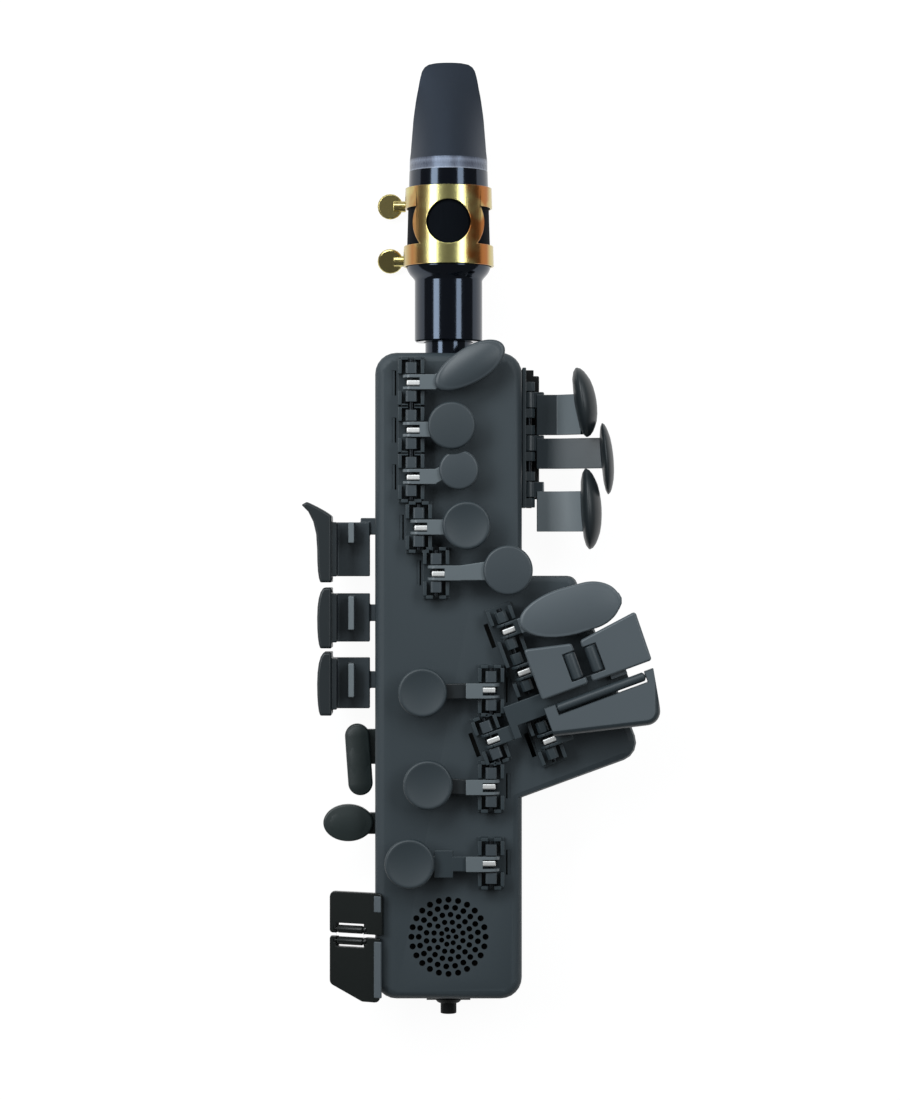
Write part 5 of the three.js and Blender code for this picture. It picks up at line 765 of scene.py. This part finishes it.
def fork():
    """The forked hub of a lever: two cheeks on the rod, the window between them, and the arm's root."""
    rim, bare = CHEEK_R - 0.25, HUB_HALF - 0.2
    cheeks = turned([(rim, -HUB_HALF), (CHEEK_R, -bare), (CHEEK_R, bare), (rim, HUB_HALF)], 40)
    settle(cheeks, turn=(-90, 0, 0))
    combine(cheeks, block((0, HUB_L), (-HUB_HALF, HUB_HALF), (ARM_TOP - ARM_T, ARM_TOP), 0.22), "UNION")
    combine(cheeks, block((-4, CHEEK_R), (-HUB_WINDOW_HALF, HUB_WINDOW_HALF), (-4, 4)))
    combine(cheeks, settle(turned([(1.2, -4), (1.2, 4)], 24), turn=(-90, 0, 0)))
    return cheeks


def bar(start, end, half, end_half, rise, foot, top):
    """A flat arm between two places along X, tapering and bending aside to its far end."""
    piece = block((start, end), (-half, half), (foot, top))
    shift_points(piece, lambda at: at.x > (start + end) / 2, (0, rise, 0), (1, end_half / half, 1))
    return round_edges(piece, 0.3 * MM, 3)


def spring_leg():
    """The straight leg of the torsion spring, which lies bright in the lever's window."""
    return finish(block((-1.4, CHEEK_R + 0.2), (-1.15, 0.6), (1.6, 2.6), 0.4, 4), spring_steel(), 60)


def at_hub(piece, hub, turn=0):
    return settle(piece, (hub[0], hub[1], AXIS_Z), (0, 0, turn))


def on_table(x, y, rise=0.0):
    """The place in the part's frame of a place on the left-hand table, in millimetres."""
    turn = math.radians(TABLE_TURN)
    return (
        TABLE[0] + x * math.cos(turn) - y * math.sin(turn),
        TABLE[1] + x * math.sin(turn) + y * math.cos(turn),
        TABLE[2] + rise,
    )


def hinge_block():
    """A hinge cradle: its floor, four rails and two rounded knuckles, with a cross wall at each end."""
    foot = CRADLE_FLOOR
    parts = [block((-4.2, 4.2), (-8.2, 8.2), (foot, foot + 0.8), 0.15)]
    for side in (-1, 1):
        for end in (-1, 1):
            parts.append(block((side * 3.0, side * 4.2), (end * 2.7, end * 7.2), (foot, 0.6), 0.2))
    knuckles = []
    for end in (-1, 1):
        knuckle = block((-1.8, 1.8), (end * 2.7, end * 6.2), (foot, 1.95))
        bevel_edges(knuckle, 0.7, 4, lambda one, other: min(one.z, other.z) > 1 and abs(one.x - other.x) < 1)
        # Painted light: the knuckles get a paler colour, as lit tops
        knuckles.append(finish(round_edges(knuckle, 0.12 * MM, 2, 40), knuckle_painted_light()))
        for side in (-1, 1):
            parts.append(block((side * 1.0, side * 3.2), (end * 7.1, end * 8.2), (foot, 0.35), 0.15))
    return joined([finish(part, nylon_and_painted_shade()) for part in parts] + knuckles)


class ControllerStep:
    bl_options = {"REGISTER", "UNDO"}

    def done(self):
        deselect()
        return {"FINISHED"}


class CONTROLLER_OT_stage(ControllerStep, bpy.types.Operator):
    """Adds the pale floor, the soft studio light and the camera over the instrument"""

    bl_idname = "controller.stage"
    bl_label = "Stage and camera"

    def execute(self, context):
        scene = context.scene
        deselect()
        bpy.ops.mesh.primitive_plane_add(size=6, location=(0, 0, CAD_BOX[0][2] - 0.05 * MM))
        floor = context.object
        floor.name = "floor"
        material, tree = blank_material("paper_seamless")
        path = add_node(tree, "ShaderNodeLightPath")
        seen = path.outputs["Is Camera Ray"]
        for ray in ("Is Glossy Ray", "Is Transmission Ray"):
            links = {0: seen, 1: path.outputs[ray]}
            seen = add_node(tree, "ShaderNodeMath", links=links, operation="MAXIMUM").outputs[0]
        share = add_node(tree, "ShaderNodeMath", {1: 0.9}, {0: seen}, operation="MULTIPLY")
        paper = add_node(tree, "ShaderNodeBsdfDiffuse", {"Color": list(colours().floor) + [1]})
        glow = add_node(tree, "ShaderNodeEmission", {"Color": (1, 1, 1, 1), "Strength": 1.06})
        blend = add_node(
            tree, "ShaderNodeMixShader", links={0: share.outputs[0], 1: paper.outputs[0], 2: glow.outputs[0]}
        )
        add_node(tree, "ShaderNodeOutputMaterial", links={"Surface": blend.outputs[0]})
        floor.data.materials.append(material)

        for name, place, length, width, power in (
            ("left_strip", (-0.68, 0.52, 0.78), 0.95, 0.36, 8.0),
            ("right_strip", (0.58, 0.52, 0.84), 0.95, 0.3, 5.0),
            ("north_bank", (-0.3, 0.93, 0.93), 0.9, 0.42, 6.5),
        ):
            bpy.ops.object.light_add(type="AREA", location=place)
            lamp = context.object
            lamp.name = name
            lamp.data.shape = "RECTANGLE"
            lamp.data.size = length
            lamp.data.size_y = width
            lamp.data.energy = power
            lamp.data.color = (0.92, 0.97, 1.0)
            aim = Vector((0, place[1] if "strip" in name else 0.04, 0.02)) - lamp.location
            lamp.rotation_euler = aim.to_track_quat("-Z", "Y").to_euler()

        world = bpy.data.worlds.new("studio")
        world.use_nodes = True
        tree = world.node_tree
        tree.nodes.clear()
        path = add_node(tree, "ShaderNodeLightPath")
        seen = add_node(
            tree, "ShaderNodeMath", links={0: path.outputs["Is Camera Ray"], 1: path.outputs["Is Transmission Ray"]},
            operation="MAXIMUM",
        )
        strength = add_node(tree, "ShaderNodeMapRange", {"To Min": 0.12, "To Max": 1}, {"Value": seen.outputs[0]})
        glow = add_node(
            tree, "ShaderNodeBackground", {"Color": (1, 1, 1, 1)}, {"Strength": strength.outputs["Result"]}
        )
        add_node(tree, "ShaderNodeOutputWorld", links={"Surface": glow.outputs[0]})
        scene.world = world

        camera = bpy.data.cameras.new("photographer")
        camera.lens = 100
        camera.sensor_fit = "VERTICAL"
        camera.sensor_height = 36
        camera.clip_end = 20
        viewer = bpy.data.objects.new("photographer", camera)
        scene.collection.objects.link(viewer)
        viewer.location = (0.48 * MM, 40.07 * MM, sizes().camera_height)
        scene.camera = viewer
        scene.view_settings.view_transform = "Standard"
        return self.done()


class CONTROLLER_OT_shell(ControllerStep, bpy.types.Operator):
    """Finishes the front housing, the rear cover, the palm bracket, the neck and the power button"""

    bl_idname = "controller.shell"
    bl_label = "Housing"

    def execute(self, context):
        housing = dressed_copy("front_housing", body_abs(), whole=False)
        pattern = turned([(1, 24), (1, 30)], 20)
        drills = []
        for ring in range(GRILLE_RINGS):
            radius = GRILLE_RING_R - GRILLE_RING_STEP * ring
            hole = GRILLE_HOLE_R - GRILLE_HOLE_STEP * ring
            count = max(1, round(2 * math.pi * radius / (GRILLE_PITCH - GRILLE_PITCH_STEP * ring)))
            for turn in range(count):
                angle = 2 * math.pi * (turn + 0.5 * (ring % 2)) / count
                drill = copied(pattern)
                drill.scale = (hole, hole, 1)
                drills.append(settle(drill, (radius * math.cos(angle), GRILLE_Y + radius * math.sin(angle), 0)))
        bpy.data.objects.remove(pattern)
        combine(housing, joined(drills))
        grille = Vector((0, GRILLE_Y))
        # Painted shade: the hole walls of the grille get the dark cone colour
        paint(housing, cone_paper_and_hole_shade(), lambda at, way: (at.xy - grille).length < GRILLE_R and abs(way.z) < 0.5)
        dressed_copy("rear_cover", body_abs(), 0.12)
        bracket = dressed_copy("palm_key_bracket", nylon_and_painted_shade())
        guard = [
            block((23.5, 29.4), (56.5, 96.5), (6.9, 8.85), 0.5, 3),
            block((23.5, 27.6), (56.5, 98.4), (8.0, 9.0), 0.2),
            settle(block((-0.9, 0.9), (-15.3, 0), (7.4, 9.3), 0.4, 3), (25, 72.2, 0), (0, 0, 18.7)),
        ]
        joined([bracket] + [finish(part, sleeve_rubber()) for part in guard])
        dressed_copy("power_button", sleeve_rubber(), 0.3)
        boot = turned([(3.3, -105.2), (3.75, -104.9), (4.4, -103.9)], 48)
        combine(boot, turned([(2.8, -107), (2.8, -102)], 48))
        settle(boot, (0, 0, MOUTH_Z), (-90, 0, 0))
        dressed_copy("neck_tenon", ebonite_gloss(), 0.2, smoothing=30)
        linings = []
        for side, keys in ((-1, UPPER), (1, LOWER)):
            for (x, y), *_ in keys.values():
                span = (x + side * 5.25, x + side * 6.3)
                linings.append(finish(block(span, (y - 4.1, y + 4.1), SLOT_LINING_Z, 0.1), body_abs()))
        joined([housing, finish(boot, sleeve_rubber())] + linings)
        return self.done()


class CONTROLLER_OT_hinges(ControllerStep, bpy.types.Operator):
    """Makes the hinge cradles, and finishes the rods with their springs"""

    bl_idname = "controller.hinges"
    bl_label = "Hinges"

    def execute(self, context):
        pattern = hinge_block()
        low_b = (on_table(*LOW_B_HUB), TABLE_TURN)
        hubs = {
            "hinge_cradle_upper": [(key[0], 0) for key in UPPER.values()],
            "hinge_cradle_lower": [(LOWER["key_f"][0], 0), (LOWER["key_e"][0], 0), low_b],
            "hinge_cradle_d": [(LOWER["key_d"][0], 0)],
        }
        for node, places in hubs.items():
            pieces = [at_hub(copied(pattern), hub, turn) for hub, turn in places]
            hand_over(joined(pieces), node)
        bpy.data.objects.remove(pattern)
        dressed_copy("hinge_cradle_table", nylon_and_painted_shade())
        for node in sorted(BODY_OF):
            if node.startswith("hinge_rod") or node.endswith("_rod"):
                dressed_copy(node, rod_steel(), 0, smoothing=80)
        return self.done()


class CONTROLLER_OT_stack(ControllerStep, bpy.types.Operator):
    """Makes the eight stack keys: forked hub, arm, touch and the spring leg in the window"""

    bl_idname = "controller.stack"
    bl_label = "Stack keys"

    def execute(self, context):
        hub_pattern = finish(fork(), arm_paint(), 35)
        leg_pattern = spring_leg()
        for keys, turn in ((UPPER, 0), (LOWER, 180)):
            sign = 1 if turn == 0 else -1
            for key, (hub, place, radius, hollow) in keys.items():
                reach, rise = sign * (place[0] - hub[0]), sign * (place[1] - hub[1])
                parts = [copied(hub_pattern), copied(leg_pattern)]
                # Painted light: the front F, bis and G touches get a paler, lit copy of the touch colour
                face = touch_painted_light() if key in ("key_front_f", "key_bis", "key_g") else touch_abs()
                heights = (ARM_TOP - ARM_T + ARM_SKIN, ARM_TOP - ARM_SKIN)
                if turn:
                    heights = (LOW_ARM_TOP - ARM_T, LOW_ARM_TOP)
                    arm = bar(HUB_L - 0.6, reach, HUB_HALF, HUB_HALF, rise, *heights)
                    stem = settle(turned([(2.6, -0.5), (2.6, 2.55)], 32), (reach, rise, 0))
                    # Painted shade: the E and F arms are darkened as if in shadow under their touches; the D arm
                    # keeps the strap colour
                    coat = side_abs() if key == "key_d" else arm_painted_shade()
                    parts += [finish(arm, coat), finish(stem, touch_abs())]
                    if key == "key_d":
                        pad = block((12, 18), (-4.4, 4.4), (heights[0] - 0.04, heights[1] + 0.04), 0.35, 3)
                        parts.append(finish(pad, coat))
                elif key == "key_front_f":
                    arm = bar(HUB_L - HUB_SINK, reach - 6, HUB_HALF, HUB_HALF, rise / 2, *heights)
                    parts.append(finish(arm, arm_paint()))
                else:
                    end_half = 3.2 if key == "key_g" else HUB_HALF
                    arm = bar(HUB_L - HUB_SINK, reach - radius / 2, HUB_HALF - ARM_SKIN, end_half, rise, *heights)
                    parts.append(finish(arm, arm_paint()))
                if key == "key_front_f":
                    button = touch(reach + 0.3, rise + 0.2, 5.7, -1.2, turn=31, left=2.45, right=1.95)
                else:
                    button = touch(reach, rise, radius, hollow)
                if key == "key_bis":
                    scoop = turned([(BIS_SCOOP_R, 0), (BIS_SCOOP_R, 6)], 96)
                    away = UPPER["key_b"][1]
                    combine(button, settle(scoop, (away[0] - hub[0], away[1] - hub[1], 0)))
                parts.append(finish(button, face))
                hand_over(at_hub(joined(parts), hub, turn), key)
        bpy.data.objects.remove(hub_pattern)
        bpy.data.objects.remove(leg_pattern)
        return self.done()


class CONTROLLER_OT_table(ControllerStep, bpy.types.Operator):
    """Finishes the left-hand table: the oval, three plates, three rollers and the spring legs of their hubs"""

    bl_idname = "controller.table"
    bl_label = "Left-hand table"

    def rolled_plate(self, whole):
        """The B flat plate with its foot rolled down, in place of the flat one of the solid's copy."""
        combine(whole, block((-80, 80), (-80, 80), (PLATE_CUT_Z, 60)))
        plate = block((2.4, 39.1), (PLATE_FOOT_Y, PLATE_HEAD_Y), (4.9, 8))
        shift_points(plate, lambda at: at.x < 10 and at.y < -20, (0, 8, 0))
        shift_points(plate, lambda at: at.x > 10 and at.y < -20, (-3.2, 0, 0))
        bevel_edges(plate, 4.8, 8, lambda *ends: all(at.y < -20 and at.x > 30 for at in ends))
        bevel_edges(plate, 2.2, 8, lambda *ends: all(at.y < -22 and at.z > 7 for at in ends))
        span = (LONG_ROLLER_X - LONG_ROLLER_HALF, LONG_ROLLER_X + LONG_ROLLER_HALF)
        combine(plate, block(span, (-16.4, -10), (3, 12)))
        round_edges(plate, 0.2 * MM, 2, 50)
        settle(plate, on_table(0, 0), (0, 0, TABLE_TURN))
        # Painted shade: the plate's faces that do not face up are darkened with the strap colour
        return paint(finish(plate, plate_painted_light(), 30), side_abs(), lambda at, way: way.z < 0.97)

    def execute(self, context):
        hubs = {
            "key_g_sharp": (0, 14),
            "key_c_sharp": (0, 0),
            "key_b_flat": (0, -23),
            "key_low_b": (*LOW_B_HUB, AXIS_Z - TABLE[2]),
        }
        leg_pattern = spring_leg()
        for key, hub in hubs.items():
            # Painted light: the table keys get the paler, lit copy of the touch colour
            whole = dressed_copy(key, plate_painted_light(), 0.25, 3)
            # Painted shade: the hubs and risers below the plates are darkened with the hinges' colour
            paint(whole, nylon_and_painted_shade(), lambda at, way: at.z < TABLE_SHADE_BELOW_Z)
            parts = [whole, settle(copied(leg_pattern), on_table(*hub), (0, 0, TABLE_TURN))]
            if key == "key_b_flat":
                parts.append(self.rolled_plate(whole))
            if key == "key_g_sharp":
                oval = egg(button_profile(7.5, 4.4, 7.24, -0.8, 0.8), 96, left=2.2, right=1.4, wider=2.8)
                settle(oval, on_table(23.8, 12.8), (0, 0, TABLE_TURN - 5.3))
                # Painted light: the oval gets the paler, lit plate colour
                parts.append(finish(oval, plate_painted_light()))
            joined(parts)
        bpy.data.objects.remove(leg_pattern)
        for node in ("roller_c_sharp", "roller_low_b", "roller_b_flat"):
            dressed_copy(node, touch_abs(), 0, smoothing=60)
        for node in ("roller_e_flat", "roller_low_c"):
            dressed_copy(node, little_abs(), 0, smoothing=60)
        return self.done()


class CONTROLLER_OT_sides(ControllerStep, bpy.types.Operator):
    """Makes the palm keys' pads, and finishes the side keys, ovals, little-finger plates and octave key"""

    bl_idname = "controller.sides"
    bl_label = "Palm, side and little-finger keys"

    def execute(self, context):
        profile = (
            (0.05, -0.006), (0.4, 0.03), (0.72, 0.072), (0.9, 0.16), (1.0, 0.29), (1.005, 0.36), (0.965, 0.5),
            (0.87, 0.645), (0.74, 0.765), (0.6, 0.87), (0.4, 0.95), (0.2, 0.99), (0.05, 1.005),
        )
        for key, x, y, half, thick, lean in (
            ("palm_key_1", 40.4, 87.0, 11.2, 7.0, 9),
            ("palm_key_2", 48.9, 69.2, 11.4, 3.9, 5),
            ("palm_key_3", 42.4, 53.1, 12.9, 6.6, 3),
        ):
            strap = dressed_copy(key, side_abs(), 0.2)
            if key in PAINTED_LIGHT_FROM:
                # Painted highlight on the strap's faces that turn up to the light in this stretch
                paint(strap, strap_painted_highlight(), lambda at, way: PAINTED_LIGHT_FROM[key] < at.x < PAINTED_LIGHT_TO and way.z > 0.3)
            pad = turned([((share * PALM_PAD_HALF, share * half), rise * thick) for share, rise in profile], 72)
            settle(pad, turn=(0, 90, 0))
            settle(pad, (x, y, PALM_Z), (0, 0, lean))
            joined([strap, finish(pad, pad_abs(), 60)])
        for key in ("side_key_1", "side_key_2", "side_key_3"):
            blade = dressed_copy(key, pad_abs(), 0.35, 3)
            # Painted light: the blade's lower faces get the paler touch colour, and its rib a painted highlight
            paint(blade, touch_painted_light(), lambda at, way: at.z < 15.2 and at.x > -37.6)
            paint(blade, strap_painted_highlight(), lambda at, way: at.z > 15.2 and -32.5 < at.x < -30)
        for key, x, y, turn, half, apart, ratio in (
            ("key_high_f_sharp", -28.9, -27.4, 4, 3.94, 7.6, 1.0),
            ("key_side_oval", -32.3, -47.8, 0, 8.04, 0.0, 5.94 / 8.04),
        ):
            arm = dressed_copy(key, oval_abs(), 0)
            oval = egg(button_profile(half, SIDE_OVAL_FOOT, SIDE_OVAL_TOP, -0.5, 0.8, ratio), 72, longer=apart)
            joined([arm, finish(settle(oval, (x, y, 0), (0, 0, turn)), oval_abs())])
        for key in ("key_e_flat", "key_low_c"):
            plate = dressed_copy(key, little_abs(), 0.25, 3)
            # Painted highlight: the rolled lip of each little-finger plate is paler than the plate
            lip = block((-1.3, 1.3), LIP_OF[key], (-0.6, 0.35), 0.33, 4)
            joined([plate, finish(settle(lip, LIP_PLACE, (0, LIP_LEAN, 0)), plate_painted_light())])
        dressed_copy("octave_key", touch_abs(), 0.25)
        return self.done()


class CONTROLLER_OT_mouth_end(ControllerStep, bpy.types.Operator):
    """Makes the mouthpiece and the ligature, and finishes the reed and the screws"""

    bl_idname = "controller.mouth_end"
    bl_label = "Mouthpiece and ligature"

    def beak_limit(self, y, z, fall, profile):
        """The space under a long round form whose top line falls towards the tip, and all of the space before it."""
        limit = settle(turned(profile, 128, aside=1), (0, y, z), (-90 - fall, 0, 0))
        return combine(limit, block((-60, 60), (80, y), (-60, 60)), "UNION")

    def execute(self, context):
        body = turned(
            [
                (10.35, SHANK_Y), (10.85, SHANK_Y + 0.5), (10.85, 126.3), (10.98, 126.8), (11.35, 127.3),
                (11.9, 127.9), (12.5, 128.6), (13.0, 129.4), (13.35, 130.2), (13.5, FLARE_Y),
                (12.765, LIGATURE_TOP), (12.5, 164.9), ((12.1, 12.8), 168), ((11.8, 13.6), 173),
                ((11.6, 14.3), 178.5), ((11.25, 14.5), 184.6), ((10.9, 14.5), 189), ((10.75, 14.5), 193),
                ((10.65, 14.4), 195.2), ((10.2, 13.9), 196.6), ((9.3, 12.8), 197.5), ((7.6, 10.6), 198.0),
                ((5.6, 8), TIP_Y),
            ],
            96,
        )
        settle(body, (0, 0, MOUTH_Z), (-90, 0, 0))
        combine(body, self.beak_limit(BEAK_Y, 30.58, 17, ((12.5, -60), (12.5, 60))), "INTERSECT")
        widening = ((12.3, -60), (12.3, 0), (12.9, 8), (14, 16), (16.5, 24), (21, 30), (28, 34), (36, 38), (46, 44))
        combine(body, self.beak_limit(CRESCENT_Y, 29.3, 31.7, widening), "INTERSECT")
        combine(body, block((-20, 20), (126.5, 205), (-5, MOUTH_Z - TABLE_DEPTH)))
        bore = turned([(7.95, 100), (7.95, 132.1), (5.6, 132.2), (5.6, 158.2)], 48)
        combine(body, settle(bore, (0, 0, MOUTH_Z), (-90, 0, 0)))
        wedge = block((-5.2, 5.2), (151.2, 191.3), (5, 12.5))
        shift_points(wedge, lambda at: at.y > 190 and at.z > 10, (0, 0, -5.05))
        combine(body, wedge)
        finish(body, ebonite_gloss(), 24)
        pick(body)
        enter("EDIT")
        bpy.ops.mesh.select_mode(type="EDGE")
        bpy.ops.mesh.select_all(action="DESELECT")
        bpy.ops.mesh.edges_select_sharp(sharpness=math.radians(11))
        enter("OBJECT")
        for line in body.data.edges:
            if min(at.y for at in ends_of(body, line)) < 160:
                line.select = False
        enter("EDIT")
        bpy.ops.mesh.mark_sharp()
        enter("OBJECT")
        paint(body, ebonite_satin(), lambda at, way: at.y > CRESCENT_Y and way.z > 0.15)
        shoulder_top = CRESCENT_Y + 0.4
        # Painted highlight: the shoulder's bands stand for the lamps' reflection
        paint(body, ebonite_painted_highlight(), lambda at, way: BEAK_Y < at.y < shoulder_top and 0.02 < way.y and -0.1 < way.z)
        # Painted shade: the seat under the ligature is darkened
        paint(body, ebonite_painted_shade(), lambda at, way: FLARE_Y < at.y < LIGATURE_TOP - 0.2 and way.z > 0)
        hand_over(body, "mouthpiece")
        dressed_copy("reed", reed_cane(), 0)

        sleeve = turned([(14.45, LIGATURE_Y), (14.55, 131.15), (13.83, 156.05), (13.715, LIGATURE_TOP)], 96)
        combine(sleeve, turned([(13.85, 125), (13.8, LIGATURE_Y), (13.065, LIGATURE_TOP), (12.9, 162)], 96))
        settle(sleeve, (0, 0, MOUTH_Z), (-90, 0, 0))
        sides = block((-20, 20), (LIGATURE_Y + LIGATURE_BAND, LIGATURE_TOP - LIGATURE_BAND), (MOUTH_Z - 5, 50))
        ring = turned([(LIGATURE_RING_R, -30), (LIGATURE_RING_R, 60)], 96)
        window = turned([(LIGATURE_WINDOW_R, MOUTH_Z), (LIGATURE_WINDOW_R, 60)], 96)
        combine(sides, settle(ring, (0, LIGATURE_WINDOW_Y, 0)))
        combine(sleeve, sides)
        combine(sleeve, settle(window, (0, LIGATURE_WINDOW_Y, 0)))
        combine(sleeve, block((-LIGATURE_SLIT_HALF, LIGATURE_SLIT_HALF), (120, 170), (-5, MOUTH_Z)))
        round_edges(sleeve, 0.22 * MM, 3, 40)
        parts = [sleeve]
        for y in SCREW_YS:
            for side in (-1, 1):
                ear = block((side * LIGATURE_SLIT_HALF, side * 3.9), (y - 3.3, y + 3.3), (0.7, 4.8), 0.2)
                combine(ear, settle(turned([(1.4, -6), (1.4, 6)], 24), (0, y, 2.55), (0, 90, 0)))
                parts.append(ear)
        hand_over(finish(joined(parts), ligature_brass(), 35), "ligature")
        for node in ("ligature_screw_upper", "ligature_screw_lower"):
            dressed_copy(node, ligature_brass(), 0.1)
        return self.done()


class CONTROLLER_OT_insides(ControllerStep, bpy.types.Operator):
    """Gives the parts inside the housing their finishes"""

    bl_idname = "controller.insides"
    bl_label = "Insides"

    def execute(self, context):
        finishes = {"circuit_board": board_mask(), "battery": battery_foil(), "speaker_driver": cone_paper_and_hole_shade()}
        for node, material in finishes.items():
            held = frame["nodes"][node].data.materials
            held.clear()
            held.append(material)
        return self.done()


STEPS = (
    CONTROLLER_OT_stage,
    CONTROLLER_OT_shell,
    CONTROLLER_OT_hinges,
    CONTROLLER_OT_stack,
    CONTROLLER_OT_table,
    CONTROLLER_OT_sides,
    CONTROLLER_OT_mouth_end,
    CONTROLLER_OT_insides,
)


class CONTROLLER_PT_panel(bpy.types.Panel):
    """Lists the steps that finish the controller"""

    bl_idname = "CONTROLLER_PT_panel"
    bl_label = "Wind controller"
    bl_space_type = "VIEW_3D"
    bl_region_type = "UI"
    bl_category = "Wind controller"

    def draw(self, context):
        for step in STEPS:
            self.layout.operator(step.bl_idname)
        for group in (context.scene.controller_sizes, context.scene.controller_colours):
            for name in group.__annotations__:
                self.layout.prop(group, name)


CLASSES = (ControllerColours, ControllerSizes, *STEPS, CONTROLLER_PT_panel)


def register():
    for each in CLASSES:
        bpy.utils.register_class(each)
    bpy.types.Scene.controller_sizes = PointerProperty(type=ControllerSizes)
    bpy.types.Scene.controller_colours = PointerProperty(type=ControllerColours)


def unregister():
    del bpy.types.Scene.controller_colours
    del bpy.types.Scene.controller_sizes
    for each in reversed(CLASSES):
        bpy.utils.unregister_class(each)


def main():
    register()
    for step in STEPS:
        group, name = step.bl_idname.split(".")
        getattr(getattr(bpy.ops, group), name)()


if __name__ == "__main__":
    main()
